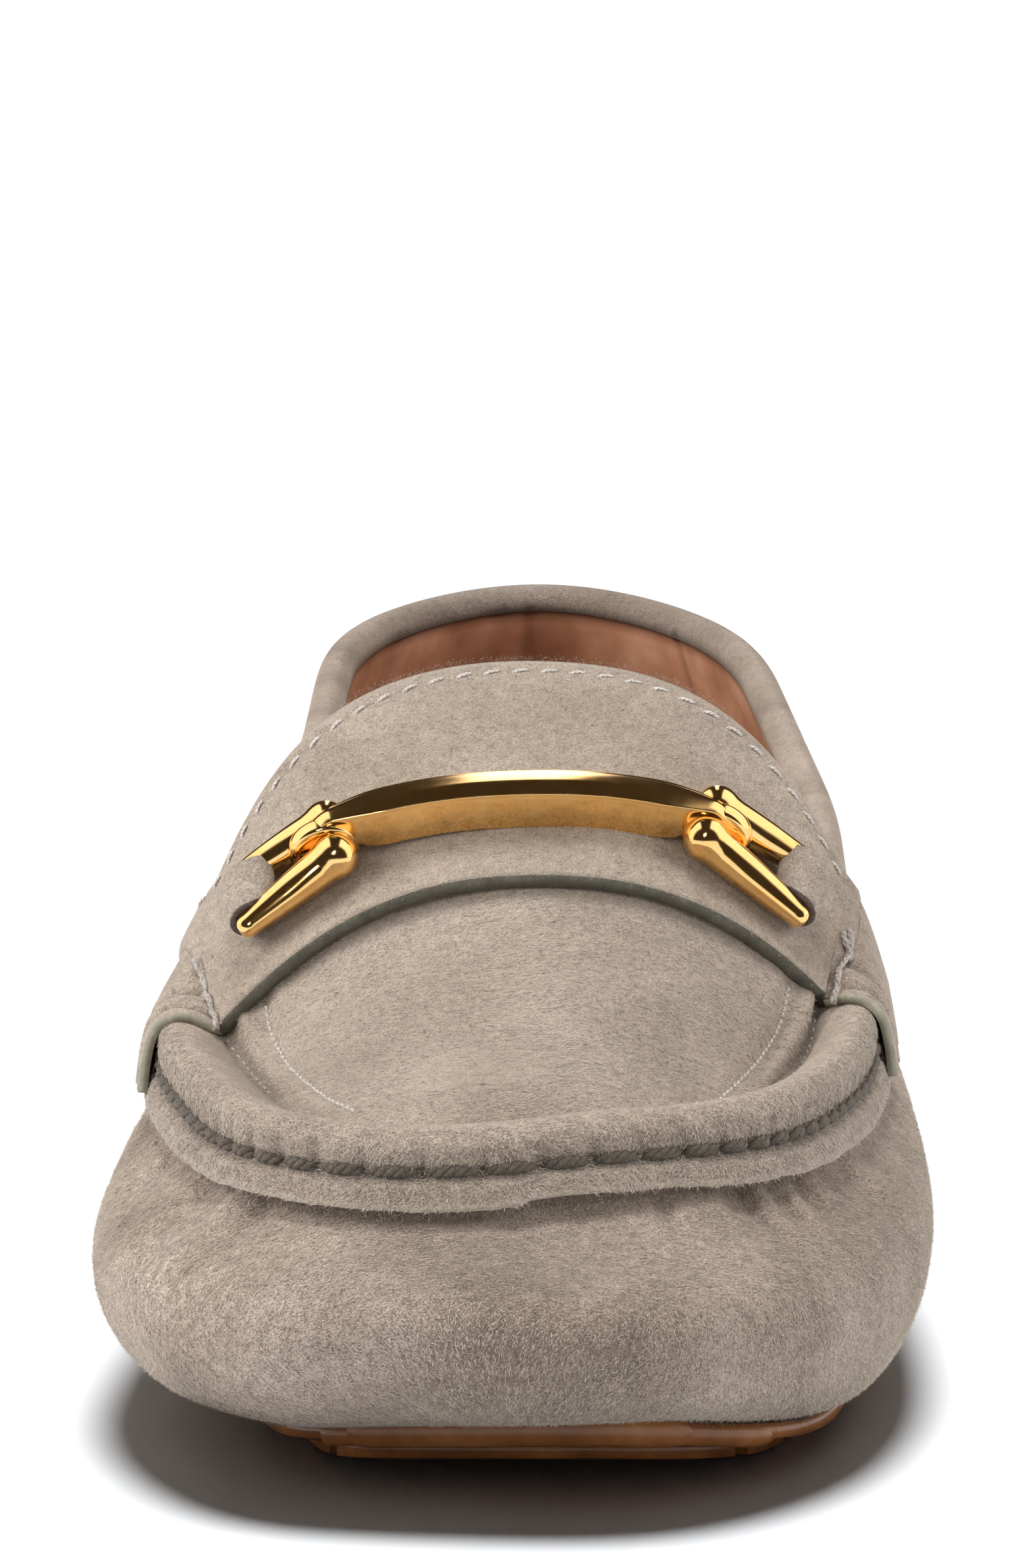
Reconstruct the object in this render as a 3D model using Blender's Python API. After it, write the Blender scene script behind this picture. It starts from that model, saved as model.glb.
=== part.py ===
"""Left driving loafer with a snaffle bit, in metres: toe towards -Y, heel towards +Y, floor at Z = 0.

The upper is one ring of leather drawn from the shoe's own sections. An apron with a rolled rim
closes it over the toes, a saddle strap crosses the instep, and the bit lies on the strap.
Medial is the big toe's side, at -X, and lateral the little toe's, at +X.
"""

import math

import bmesh
import bpy
import numpy as np

# Driving sizes of the last, in metres
LENGTH = 0.2795
BALL_WIDTH = 0.106
HEEL_HEIGHT = 0.068  # floor to the top of the collar at the back
INSTEP_HEIGHT = 0.0832  # floor to the apron's top face at the throat
SHOULDER_HEIGHT = 0.0215  # floor to the widest line of the wall
TOE_SPRING = 0.0063
ARCH_RISE = 0.0022
HEEL_BEVEL = 0.0012

# Leather, in metres
WALL = 0.0021
COLLAR = 0.0072  # the padded collar, through its roll
COLLAR_DEPTH = 0.013
TURN_UNDER = 0.009
APRON = 0.0018
SEWN = 0.42  # share of the apron's thickness left in the hand-sewn groove
ROLL_BULGE = 0.0019  # how far the rolled rim stands out over the groove
LIP = 0.0050  # the apron's cut edge, from the hand-sewn groove down
LIP_FLARE = 0.0003
STAND = 0.0062  # the wall's standing edge under the lip
STAND_LEAN = 76  # its slope, in degrees from level
STRAP = 0.0022
KEEPER = 0.0012
FIT = 0.0003  # clearance between pieces that touch
STRAP_FIT = 0.0004
EAR_CUT = 0.45  # how far above the lip's edge the ears end, share of the lip
EAR_BELLY = 0.0007  # how far the strap's ears stand off the straight line over the rim

# Rubber and sock, in metres
PLATE = 0.0030
TREAD = 0.0018
SOLE_REACH = 0.0006
PAD_INSET = 0.0055
GROOVE = 0.0024
GROOVE_PITCH = 0.0125
GROOVE_DEPTH = 0.0012
INSOLE = 0.0025
INSOLE_REACH = 0.0028
END_EASE = 0.009  # length over which a plate's underside rises towards its ends

# The bit, in metres
BIT_HALF_SPAN = 0.0236  # bit's centre to the middle of an eye
BAR_WIDTH = 0.0050
BAR_DEPTH = 0.0045
BAR_ARCH = 0.0048
EYE_RADIUS = 0.0039
EYE_WIDTH = 0.0024
BALL = 0.0030
BALL_SPREAD = 0.0043
LINK = 0.00135  # radius of the stirrup's two cross links
TIP = 0.0017
TIP_SPREAD = 0.0062
STIRRUP_REACH = 0.0112  # eye's middle to the outer link
KEEPER_TAIL = 0.0034
BIT_PLACE = 0.308  # where the bit's bar lies, share of LENGTH
LINK_PLACES = {-1: 0.296, 1: 0.309}  # where its medial and lateral outer links lie

# Mesh fineness
RING_STATIONS = 60
STRAP_LINES = 7
TOE_LINES = 10
FOOT_STEPS = 4
WALL_STEPS = 6
ROLL_STEPS = 6
PANEL_STEPS = 7
ROUND_SIDES = 10

# The wall, row by row from the toe tip round the lateral side, the heel and the medial side.
# along: share of LENGTH from the toe tip. across: share of half BALL_WIDTH. under: how far the
# sole's edge lies inside the widest line, share of BALL_WIDTH. top_along, top_across: the same
# shares for the wall's top edge. top: its height, share of HEEL_HEIGHT. lean: the wall's slope
# below the standing edge the apron is sewn to, in degrees from level. collar: 1 where the padded
# collar is whole.
WALL_COLUMNS = ("along", "across", "under", "top_along", "top_across", "top", "lean", "collar")
WALL_ROWS = (
    (0.000, -0.150, 0.165, 0.065, -0.150, 0.622, 30, 0),
    (0.004, 0.330, 0.140, 0.089, 0.200, 0.622, 31, 0),
    (0.069, 0.730, 0.108, 0.121, 0.550, 0.620, 38, 0),
    (0.168, 0.935, 0.097, 0.191, 0.740, 0.618, 52, 0),
    (0.274, 0.985, 0.100, 0.286, 0.822, 0.635, 62, 0),
    (0.392, 0.945, 0.105, 0.386, 0.800, 0.765, 76, 0.1),
    (0.517, 0.870, 0.105, 0.509, 0.805, 0.850, 80, 1),
    (0.660, 0.805, 0.100, 0.653, 0.760, 0.885, 83, 1),
    (0.803, 0.750, 0.095, 0.787, 0.690, 0.930, 84, 1),
    (0.928, 0.575, 0.090, 0.908, 0.530, 0.975, 86, 1),
    (1.000, 0.045, 0.095, 0.985, 0.040, 1.000, 88, 1),
    (0.928, -0.500, 0.090, 0.908, -0.455, 0.985, 86, 1),
    (0.803, -0.650, 0.095, 0.787, -0.580, 0.955, 84, 1),
    (0.660, -0.690, 0.108, 0.653, -0.595, 0.935, 83, 1),
    (0.517, -0.760, 0.125, 0.509, -0.630, 0.910, 80, 1),
    (0.384, -0.885, 0.150, 0.372, -0.715, 0.775, 76, 0.1),
    (0.281, -0.970, 0.175, 0.276, -0.830, 0.640, 62, 0),
    (0.191, -1.000, 0.195, 0.203, -0.785, 0.618, 52, 0),
    (0.102, -0.920, 0.195, 0.127, -0.680, 0.620, 38, 0),
    (0.025, -0.640, 0.180, 0.078, -0.480, 0.622, 31, 0),
)

# Apron and strap lines. A line runs from a place on the seam to the spine over the foot.
# seam_medial, seam_lateral: where it starts, and spine: where it ends, all shares of LENGTH.
LINE_COLUMNS = ("seam_medial", "seam_lateral", "spine")
TOE_FOCUS = 0.127
STRAP_FRONT = (0.252, 0.281, 0.267)
STRAP_BACK = (0.345, 0.361, 0.399)

# The spine over the foot. along: share of LENGTH. across: share of half BALL_WIDTH. rise: share
# of INSTEP_HEIGHT.
SPINE_COLUMNS = ("along", "across", "rise")
SPINE_ROWS = (
    (0.076, -0.100, 0.515),
    (0.096, -0.095, 0.545),
    (0.127, -0.085, 0.572),
    (0.168, -0.060, 0.610),
    (0.220, -0.010, 0.673),
    (0.267, 0.040, 0.748),
    (0.317, 0.045, 0.848),
    (0.363, 0.020, 0.935),
    (0.399, 0.000, 1.000),
    (0.425, 0.000, 1.048),
)

# The apron's rim from the toe to the throat. seam: 0 at the toe tip, 1 at the throat's corner.
# roll: width of the rolled rim, share of BALL_WIDTH. valley: height of the fold inside it over
# the wall's top, and crest: how far the roll stands over the line from groove to fold, shares of
# HEEL_HEIGHT. arch: power of the curve from the spine down to the fold.
RIM_COLUMNS = ("seam", "roll", "valley", "crest", "arch")
RIM_ROWS = (
    (0.00, 0.095, 0.045, 0.055, 2.0),
    (0.25, 0.098, 0.036, 0.062, 2.0),
    (0.50, 0.096, 0.022, 0.080, 2.0),
    (0.72, 0.088, 0.036, 0.084, 2.1),
    (0.86, 0.068, 0.085, 0.060, 2.7),
    (1.00, 0.040, 0.160, 0.034, 4.0),
)

# Sole pads: where each starts and ends, shares of LENGTH.
PADS = {"forefoot": (0.068, 0.425), "heel": (0.707, 0.954)}
SPRING_END = 0.052
FLAT_START = 0.172
ARCH_START = 0.425
ARCH_END = 0.707
HEEL_FLAT_END = 0.923

SUEDE = (0.425, 0.372, 0.318)
GUM = (0.33, 0.19, 0.085)
GOLD = (0.83, 0.56, 0.24)
COPPER = (0.36, 0.22, 0.165)


def half_width():
    return BALL_WIDTH / 2


def toe_y():
    return -LENGTH / 2


def at_length(share):
    """Y of a share of the length, from the toe tip back."""
    return toe_y() + share * LENGTH


def sole_top():
    return PLATE + TREAD


def smooth(value):
    value = np.clip(value, 0.0, 1.0)
    return value * value * (3 - 2 * value)


def ground_rise(y):
    """How far the sole's bottom lies over the floor: toe spring, arch and heel bevel."""
    share = (np.asarray(y, float) - toe_y()) / LENGTH
    spring = np.clip((FLAT_START - share) / (FLAT_START - SPRING_END), 0, None)
    arch = np.clip((share - ARCH_START) / (ARCH_END - ARCH_START), 0, 1)
    heel = np.clip((share - HEEL_FLAT_END) / (PADS["heel"][1] - HEEL_FLAT_END), 0, None)
    return TOE_SPRING * spring**2 + ARCH_RISE * np.sin(math.pi * arch) ** 2 + HEEL_BEVEL * heel**2


def column(rows, columns, name):
    return np.array([row[columns.index(name)] for row in rows], float)


class ClosedCurve:
    """A smooth closed curve through rows of values, by a periodic cubic spline."""

    def __init__(self, knots, period, values):
        self.knots = np.append(knots, period)
        self.values = np.vstack([values, values[:1]])
        step = np.diff(self.knots)
        count = len(knots)
        matrix = np.zeros((count, count))
        right = np.zeros((count, values.shape[1]))
        for i in range(count):
            before, after = step[i - 1], step[i]
            matrix[i, i - 1] += before
            matrix[i, i] += 2 * (before + after)
            matrix[i, (i + 1) % count] += after
            slope_after = (self.values[i + 1] - self.values[i]) / after
            slope_before = (self.values[i] - values[i - 1]) / before
            right[i] = 6 * (slope_after - slope_before)
        bend = np.linalg.solve(matrix, right)
        self.bend = np.vstack([bend, bend[:1]])
        self.step = step
        self.period = period

    def __call__(self, u):
        u = np.mod(np.asarray(u, float), self.period)
        i = np.clip(np.searchsorted(self.knots, u, side="right") - 1, 0, len(self.step) - 1)
        h = self.step[i][..., None]
        a = (self.knots[i + 1] - u)[..., None] / h
        b = 1 - a
        curved = (a**3 - a) * self.bend[i] + (b**3 - b) * self.bend[i + 1]
        return a * self.values[i] + b * self.values[i + 1] + curved * h**2 / 6


def open_curve(knots, values):
    """A smooth monotone-friendly curve through a few values, as a function."""
    knots, values = np.asarray(knots, float), np.asarray(values, float)
    slopes = np.gradient(values, knots)

    def at(x):
        x = np.clip(np.asarray(x, float), knots[0], knots[-1])
        i = np.clip(np.searchsorted(knots, x, side="right") - 1, 0, len(knots) - 2)
        h = knots[i + 1] - knots[i]
        t = (x - knots[i]) / h
        start = (1 + 2 * t) * (1 - t) ** 2 * values[i] + t * (1 - t) ** 2 * h * slopes[i]
        end = t**2 * (3 - 2 * t) * values[i + 1] + t**2 * (t - 1) * h * slopes[i + 1]
        return start + end

    return at


def unit(vectors):
    vectors = np.asarray(vectors, float)
    return vectors / np.maximum(np.linalg.norm(vectors, axis=-1, keepdims=True), 1e-12)


class Wall:
    """The upper's wall: feather edge, widest line and top edge at any place u round the shoe."""

    def __init__(self):
        plan = np.column_stack(
            [
                column(WALL_ROWS, WALL_COLUMNS, "across") * half_width(),
                at_length(column(WALL_ROWS, WALL_COLUMNS, "along")),
            ]
        )
        chords = np.linalg.norm(np.roll(plan, -1, axis=0) - plan, axis=1)
        knots = np.concatenate([[0], np.cumsum(chords)[:-1]])
        self.period = float(chords.sum())
        values = np.column_stack(
            [
                plan,
                column(WALL_ROWS, WALL_COLUMNS, "under") * BALL_WIDTH,
                column(WALL_ROWS, WALL_COLUMNS, "top_across") * half_width(),
                at_length(column(WALL_ROWS, WALL_COLUMNS, "top_along")),
                column(WALL_ROWS, WALL_COLUMNS, "top") * HEEL_HEIGHT,
                np.radians(column(WALL_ROWS, WALL_COLUMNS, "lean")),
                column(WALL_ROWS, WALL_COLUMNS, "collar"),
            ]
        )
        self.curve = ClosedCurve(knots, self.period, values)
        heel = int(np.argmax(plan[:, 1]))
        self.heel_u = float(knots[heel])

    def outward(self, u):
        """Level direction that points out of the shoe at the widest line."""
        small = self.period * 1e-4
        along = unit(self.curve(np.asarray(u) + small)[..., :2] - self.curve(np.asarray(u) - small)[..., :2])
        return np.stack([-along[..., 1], along[..., 0]], -1) * self.turn()

    def turn(self):
        """The rows run one way round, so this sign makes the normal point out."""
        tip = self.curve(0.0)
        after = self.curve(self.period * 1e-3)
        return 1.0 if (after[0] - tip[0]) < 0 else -1.0

    def collar_share(self, u):
        return np.clip(self.curve(u)[..., 7], 0, 1)

    def thickness_at_top(self, u):
        return WALL + (COLLAR - WALL) * smooth(self.collar_share(u))

    def sole_edge(self, u, reach=0.0):
        """Plan of the sole's edge, moved outwards by reach."""
        row = self.curve(u)
        return row[..., :2] - self.outward(u) * (row[..., 2:3] - reach)

    def top(self, u):
        """The wall's outer top point, below the round of its edge."""
        row = self.curve(u)
        height = row[..., 5] - self.thickness_at_top(u) / 2
        return np.concatenate([row[..., 3:5], height[..., None]], -1)

    def section(self, u):
        """Outer points at u, from the turned-under margin up to the top edge."""
        row = self.curve(u)
        out = self.outward(u)
        edge = self.sole_edge(u)
        shelf = sole_top() + FIT
        points = []
        for back in (TURN_UNDER, TURN_UNDER / 2):
            plan = edge - out * back
            points.append([*plan, shelf + ground_rise(plan[1])])
        foot = np.array([*edge, shelf + ground_rise(edge[1])])
        widest = np.array([row[0], row[1], SHOULDER_HEIGHT + ground_rise(edge[1]) / 2])
        for k in range(FOOT_STEPS):
            angle = k / FOOT_STEPS * math.pi / 2
            plan = foot[:2] + (widest[:2] - foot[:2]) * math.sin(angle)
            points.append([*plan, foot[2] + (widest[2] - foot[2]) * (1 - math.cos(angle))])
        top = self.top(u)
        away = widest[:2] - top[:2]
        reach = np.linalg.norm(away)
        away = away / reach if reach > 1e-6 else out
        lean = row[6]
        stand = max(math.radians(STAND_LEAN), lean)
        below = top + STAND * np.array([*(away * math.cos(stand)), -math.sin(stand)])
        climb = below[2] - widest[2]
        pull = 0.4 * np.linalg.norm(below - widest)
        second = widest + np.array([0, 0, 0.7 * climb])
        third = below + pull * np.array([*(away * math.cos(lean)), -math.sin(lean)])
        for k in range(WALL_STEPS + 1):
            t = k / WALL_STEPS
            point = (
                (1 - t) ** 3 * widest
                + 3 * t * (1 - t) ** 2 * second
                + 3 * t**2 * (1 - t) * third
                + t**3 * below
            )
            points.append(list(point))
        points.append(list((below + top) / 2))
        points.append(list(top))
        return np.array(points)

    def near_top(self, u, distance):
        """Outer point at a distance down the wall from its top edge, and the normal there."""
        line = self.section(u)[::-1]
        lengths = np.concatenate([[0], np.cumsum(np.linalg.norm(np.diff(line, axis=0), axis=1))])
        point = np.array([np.interp(distance, lengths, line[:, k]) for k in range(3)])
        ahead = np.array([np.interp(distance + 0.001, lengths, line[:, k]) for k in range(3)])
        behind = np.array([np.interp(max(distance - 0.001, 0), lengths, line[:, k]) for k in range(3)])
        down = unit(ahead - behind)
        small = self.period * 1e-4
        round_shoe = unit(self.top(u + small) - self.top(u - small))
        normal = unit(np.cross(round_shoe, down) * self.turn())
        if normal[2] < 0:
            normal = -normal
        return point, normal

    def seam_place(self, side, along):
        """The u where the wall's top edge passes a share of the length, on one side."""
        low, high = (0.0, self.heel_u) if side > 0 else (self.heel_u, self.period)
        u = np.linspace(low, high, 2000)
        y = self.curve(u)[:, 4]
        order = np.argsort(y)
        return float(np.interp(at_length(along), y[order], u[order]))


def grid_normals(grid, wrap):
    """Unit normals of a grid of points, the first axis running round if wrap is set."""
    if wrap:
        first = np.roll(grid, -1, axis=0) - np.roll(grid, 1, axis=0)
    else:
        first = np.gradient(grid, axis=0)
    second = np.gradient(grid, axis=1)
    return unit(np.cross(first, second))


def new_object(name, points, faces, color, roughness, metallic=0.0):
    mesh = bpy.data.meshes.new(name)
    mesh.from_pydata([tuple(map(float, p)) for p in points], [], faces)
    made = bmesh.new()
    made.from_mesh(mesh)
    bmesh.ops.triangulate(made, faces=made.faces[:])
    bmesh.ops.recalc_face_normals(made, faces=made.faces[:])
    if made.calc_volume(signed=True) < 0:
        bmesh.ops.reverse_faces(made, faces=made.faces[:])
    made.to_mesh(mesh)
    made.free()
    obj = bpy.data.objects.new(name, mesh)
    bpy.context.scene.collection.objects.link(obj)
    paint(obj, color, roughness, metallic)
    mesh.shade_smooth()
    mesh.set_sharp_from_angle(angle=math.radians(40))
    return obj


def paint(obj, color, roughness, metallic):
    material = bpy.data.materials.new(obj.name)
    material.use_nodes = True
    shader = material.node_tree.nodes["Principled BSDF"]
    shader.inputs["Base Color"].default_value = (*color, 1)
    shader.inputs["Roughness"].default_value = roughness
    shader.inputs["Metallic"].default_value = metallic
    obj.data.materials.clear()
    obj.data.materials.append(material)


def ring_faces(rounds, around):
    """Quads of a closed tube: rounds loops of around points, joined end to end."""
    faces = []
    for i in range(rounds):
        for j in range(around):
            after_i, after_j = (i + 1) % rounds, (j + 1) % around
            faces.append(
                (i * around + j, after_i * around + j, after_i * around + after_j, i * around + after_j)
            )
    return faces


def sheet_solid(outer, inner):
    """Points and faces of a closed sheet between two grids of the same size."""
    rows, columns = outer.shape[:2]
    points = np.vstack([outer.reshape(-1, 3), inner.reshape(-1, 3)])
    offset = rows * columns
    faces = []
    for i in range(rows - 1):
        for j in range(columns - 1):
            a = i * columns + j
            quad = (a, a + 1, a + columns + 1, a + columns)
            faces.append(quad)
            faces.append(tuple(offset + k for k in reversed(quad)))
    border = [j for j in range(columns)]
    border += [i * columns + columns - 1 for i in range(1, rows)]
    border += [(rows - 1) * columns + j for j in range(columns - 2, -1, -1)]
    border += [i * columns for i in range(rows - 2, 0, -1)]
    for a, b in zip(border, border[1:] + border[:1]):
        faces.append((a, b, offset + b, offset + a))
    return points, faces


def make_upper(wall):
    """The hollow upper: wall, turned-under margin and padded collar in one solid."""
    stations = np.linspace(0, wall.period, RING_STATIONS, endpoint=False)
    outer = np.array([wall.section(u) for u in stations])
    normals = grid_normals(outer, wrap=True)
    middle = outer.mean(axis=(0, 1))
    if np.sum(normals[:, -4] * (outer[:, -4] - middle)) < 0:
        normals = -normals
    lengths = np.linalg.norm(np.diff(outer, axis=1), axis=2)
    from_top = np.concatenate(
        [np.cumsum(lengths[:, ::-1], axis=1)[:, ::-1], np.zeros((len(stations), 1))], axis=1
    )
    padding = (wall.thickness_at_top(stations) - WALL)[:, None] * smooth(1 - from_top / COLLAR_DEPTH)
    inner = outer - normals * (WALL + padding)[..., None]
    rise = unit(outer[:, -1] - outer[:, -2])
    centre = (outer[:, -1] + inner[:, -1]) / 2
    radius = np.linalg.norm(outer[:, -1] - inner[:, -1], axis=1) / 2
    cap = []
    for angle in (30, 60, 90, 120, 150):
        angle = math.radians(angle)
        level = (outer[:, -1] - centre) * math.cos(angle)
        cap.append(centre + level + rise * (radius * math.sin(angle))[:, None])
    loops = np.concatenate([outer, np.stack(cap, axis=1), inner[:, ::-1]], axis=1)
    points = loops.reshape(-1, 3)
    return new_object("upper", points, ring_faces(*loops.shape[:2]), SUEDE, 0.95)


class Apron:
    """The apron's outer face, as lines from its cut lip over the roll to the spine."""

    def __init__(self, wall):
        self.wall = wall
        spine_y = at_length(column(SPINE_ROWS, SPINE_COLUMNS, "along"))
        rise = column(SPINE_ROWS, SPINE_COLUMNS, "rise") * INSTEP_HEIGHT
        across = column(SPINE_ROWS, SPINE_COLUMNS, "across") * half_width()
        self.spine_rise = open_curve(spine_y, rise)
        self.spine_across = open_curve(spine_y, across)
        seam = column(RIM_ROWS, RIM_COLUMNS, "seam")
        self.rim = {name: open_curve(seam, column(RIM_ROWS, RIM_COLUMNS, name)) for name in RIM_COLUMNS}
        self.corner = {
            -1: wall.seam_place(-1, STRAP_BACK[0]),
            1: wall.seam_place(1, STRAP_BACK[1]),
        }

    def seam_share(self, side, u):
        """0 at the toe tip, 1 at the throat's corner on this side."""
        if side > 0:
            return u / self.corner[1]
        return (self.wall.period - u) / (self.wall.period - self.corner[-1])

    def spine_point(self, along):
        y = at_length(along)
        return np.array([self.spine_across(y), y, self.spine_rise(y)])

    def spine_normal(self, along):
        ahead, behind = self.spine_point(along + 0.004), self.spine_point(along - 0.004)
        return unit([0.0, behind[2] - ahead[2], ahead[1] - behind[1]])

    def line(self, side, u, along):
        """Outer points from the lip's cut edge to the spine at a share of the length."""
        wall = self.wall
        share = self.seam_share(side, u)
        sewn = FIT + SEWN * APRON
        cut, cut_normal = wall.near_top(u, LIP)
        middle, middle_normal = wall.near_top(u, 0.55 * LIP)
        groove, groove_normal = wall.near_top(u, 0.12 * LIP)
        points = [
            cut + cut_normal * (FIT + APRON + LIP_FLARE),
            middle + middle_normal * (FIT + APRON + 0.35 * LIP_FLARE),
            groove + groove_normal * sewn,
        ]
        start = points[-1]
        widest = wall.curve(u)[:2]
        top = wall.top(u)
        inward = unit(top[:2] - widest)
        fold = np.array(
            [
                *(start[:2] + inward * self.rim["roll"](share) * BALL_WIDTH),
                top[2] + self.rim["valley"](share) * HEEL_HEIGHT,
            ]
        )
        crest = self.rim["crest"](share) * HEEL_HEIGHT
        for k in range(1, ROLL_STEPS + 1):
            t = (k / ROLL_STEPS) ** 1.5
            hump = t**0.6 * (1 - t) ** 1.2 / 0.318
            bulge = ROLL_BULGE * math.sin(math.pi * t**0.5) * (1 - smooth((share - 0.75) / 0.25))
            lift = np.array([*(-inward * bulge), crest * hump])
            points.append(start + (fold - start) * t + lift)
        spine = self.spine_point(along)
        drop = fold[2] - self.spine_rise(fold[1])
        power = float(self.rim["arch"](share))
        square = 1 + float(smooth((along - TOE_FOCUS) / (STRAP_FRONT[2] - TOE_FOCUS)))
        for k in range(1, PANEL_STEPS + 1):
            left = 1 - (k / PANEL_STEPS) ** 1.4
            x = spine[0] + (fold[0] - spine[0]) * left
            y = spine[1] + (fold[1] - spine[1]) * left**square
            points.append([x, y, self.spine_rise(y) + drop * left**power])
        return np.array(points)

    def sewn_inner(self, u):
        """Inner points under the lip and the groove, clear of the wall."""
        found = []
        for share, flare in ((1.0, LIP_FLARE), (0.55, 0.35 * LIP_FLARE), (0.12, 0.0)):
            point, normal = self.wall.near_top(u, share * LIP)
            found.append(point + normal * (FIT + flare))
        return found


def strap_share(k):
    """Places of the strap's k-th line, from its front edge to its back edge."""
    t = k / (STRAP_LINES - 1)
    return [a + (b - a) * t for a, b in zip(STRAP_FRONT, STRAP_BACK)]


def apron_places(wall):
    """Each apron line as side, u and spine share, from the medial throat round the toe."""
    medial, lateral = [], []
    for k in range(STRAP_LINES):
        seam_medial, seam_lateral, spine = strap_share(k)
        medial.append((-1, wall.seam_place(-1, seam_medial), spine))
        lateral.append((1, wall.seam_place(1, seam_lateral), spine))
    first, last = medial[0][1] - wall.period, lateral[0][1]
    toe = []
    for gone in np.linspace(-1, 1, 2 * TOE_LINES + 1)[1:-1]:
        back = float(smooth((abs(gone) - 0.25) / 0.75)) ** 1.2
        spine = TOE_FOCUS + (STRAP_FRONT[2] - TOE_FOCUS) * back
        if gone < 0:
            toe.append((-1, wall.period + first * -gone, spine))
        else:
            toe.append((1, last * gone, spine))
    return medial[::-1] + toe + lateral


def make_apron(wall, apron):
    """The apron: panel, rolled rim, hand-sewn groove and cut lip in one sheet."""
    places = apron_places(wall)
    outer = np.array([apron.line(*place) for place in places])
    normals = grid_normals(outer, wrap=False)
    normals[normals[..., 2] < 0] *= -1
    inner = outer - normals * APRON
    for i, (_, u, along) in enumerate(places):
        inner[i, :3] = apron.sewn_inner(u)
        inner[i, -1] = apron.spine_point(along) - apron.spine_normal(along) * APRON
    points, faces = spine_joined(outer, inner)
    return new_object("apron", points, faces, SUEDE, 0.95)


def spine_joined(outer, inner):
    """A closed sheet whose lines end on the spine, lines that end at one place joined there."""
    lines, steps = outer.shape[:2]
    points = []
    known = {}
    index = np.zeros((2, lines, steps), int)
    for layer, grid in enumerate((outer, inner)):
        for i in range(lines):
            for j in range(steps):
                key = (layer, i, j)
                if j == steps - 1:
                    key = (layer, round(float(outer[i, j, 1]), 7))
                if key not in known:
                    known[key] = len(points)
                    points.append(grid[i, j])
                index[layer, i, j] = known[key]
    faces = []
    for i in range(lines - 1):
        for j in range(steps - 1):
            for layer, turn in ((0, 1), (1, -1)):
                near, far = index[layer, i], index[layer, i + 1]
                faces.append(distinct([near[j], near[j + 1], far[j + 1], far[j]][::turn]))
        faces.append((index[0, i, 0], index[0, i + 1, 0], index[1, i + 1, 0], index[1, i, 0]))
    for i in (0, lines - 1):
        for j in range(steps - 1):
            faces.append((index[0, i, j], index[1, i, j], index[1, i, j + 1], index[0, i, j + 1]))
    return np.array(points), [face for face in faces if len(face) > 2]


def distinct(face):
    kept = []
    for vertex in face:
        if vertex not in kept:
            kept.append(vertex)
    return tuple(kept)


def taut(line):
    """The line's points outside the roll's crest, raised to a strap drawn tight over them."""
    rim = line[: ROLL_STEPS + 3]
    crest = int(np.argmax(rim[:, 2] + np.linalg.norm(rim[:, :2] - line[-1, :2], axis=1)))
    raised = line.copy()
    end = line[0] + (line[2] - line[0]) * EAR_CUT
    away = (line[0, :2] - line[-1, :2]) / np.linalg.norm(line[0, :2] - line[-1, :2])
    end[:2] += away * np.dot(line[0, :2] - end[:2], away)
    for k in range(crest):
        share = k / crest
        raised[k] = end + (line[crest] - end) * share
        belly = EAR_BELLY * math.sin(share * math.pi)
        raised[k] += belly * np.array([*(away * 0.75), 0.66])
    return raised


class Strap:
    """The saddle strap: its two faces as grids, from the front edge to the back edge."""

    def __init__(self, wall, apron):
        lines = []
        for k in range(STRAP_LINES):
            seam_medial, seam_lateral, spine = strap_share(k)
            medial = taut(apron.line(-1, wall.seam_place(-1, seam_medial), spine))
            lateral = taut(apron.line(1, wall.seam_place(1, seam_lateral), spine))
            lines.append(np.vstack([medial, lateral[::-1][1:]]))
        base = np.array(lines)
        self.normals = grid_normals(base, wrap=False)
        if self.normals[..., 2].sum() < 0:
            self.normals = -self.normals
        self.inner = base + self.normals * STRAP_FIT
        self.outer = base + self.normals * (STRAP_FIT + STRAP)

    def frame(self, along, across):
        """Point on the strap's top face, with its normal, outward and rearward directions.

        along: share of the length. across: signed distance from the shoe's middle.
        """
        found = []
        for line, normal in zip(self.outer, self.normals):
            order = np.argsort(line[:, 0])
            x = line[order, 0]
            row = [np.interp(across, x, line[order, k]) for k in range(3)]
            row += [np.interp(across, x, normal[order, k]) for k in range(3)]
            found.append(row)
        found = np.array(found)
        row = [np.interp(at_length(along), found[:, 1], found[:, k]) for k in range(6)]
        point, up = np.array(row[:3]), unit(row[3:])
        back = unit(np.array([0, 1, 0]) - up * up[1])
        out = np.cross(back, up)
        return point, up, out if out[0] * across > 0 else -out, back


def make_strap(strap):
    points, faces = sheet_solid(strap.outer, strap.inner)
    return new_object("saddle_strap", points, faces, SUEDE, 0.95)


def sole_bounds(wall, reach):
    """The sole outline's medial and lateral x as functions of y, and its y limits."""
    u = np.linspace(0, wall.period, 1500, endpoint=False)
    plan = wall.sole_edge(u, reach)
    front, back = int(np.argmin(plan[:, 1])), int(np.argmax(plan[:, 1]))
    plan = np.roll(plan, -front, axis=0)
    back = (back - front) % len(plan)
    lateral, medial = plan[: back + 1], np.vstack([plan[back:], plan[:1]])[::-1]

    def at(y):
        return np.interp(y, medial[:, 1], medial[:, 0]), np.interp(y, lateral[:, 1], lateral[:, 0])

    return at, plan[0, 1], plan[back, 1]


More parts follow.
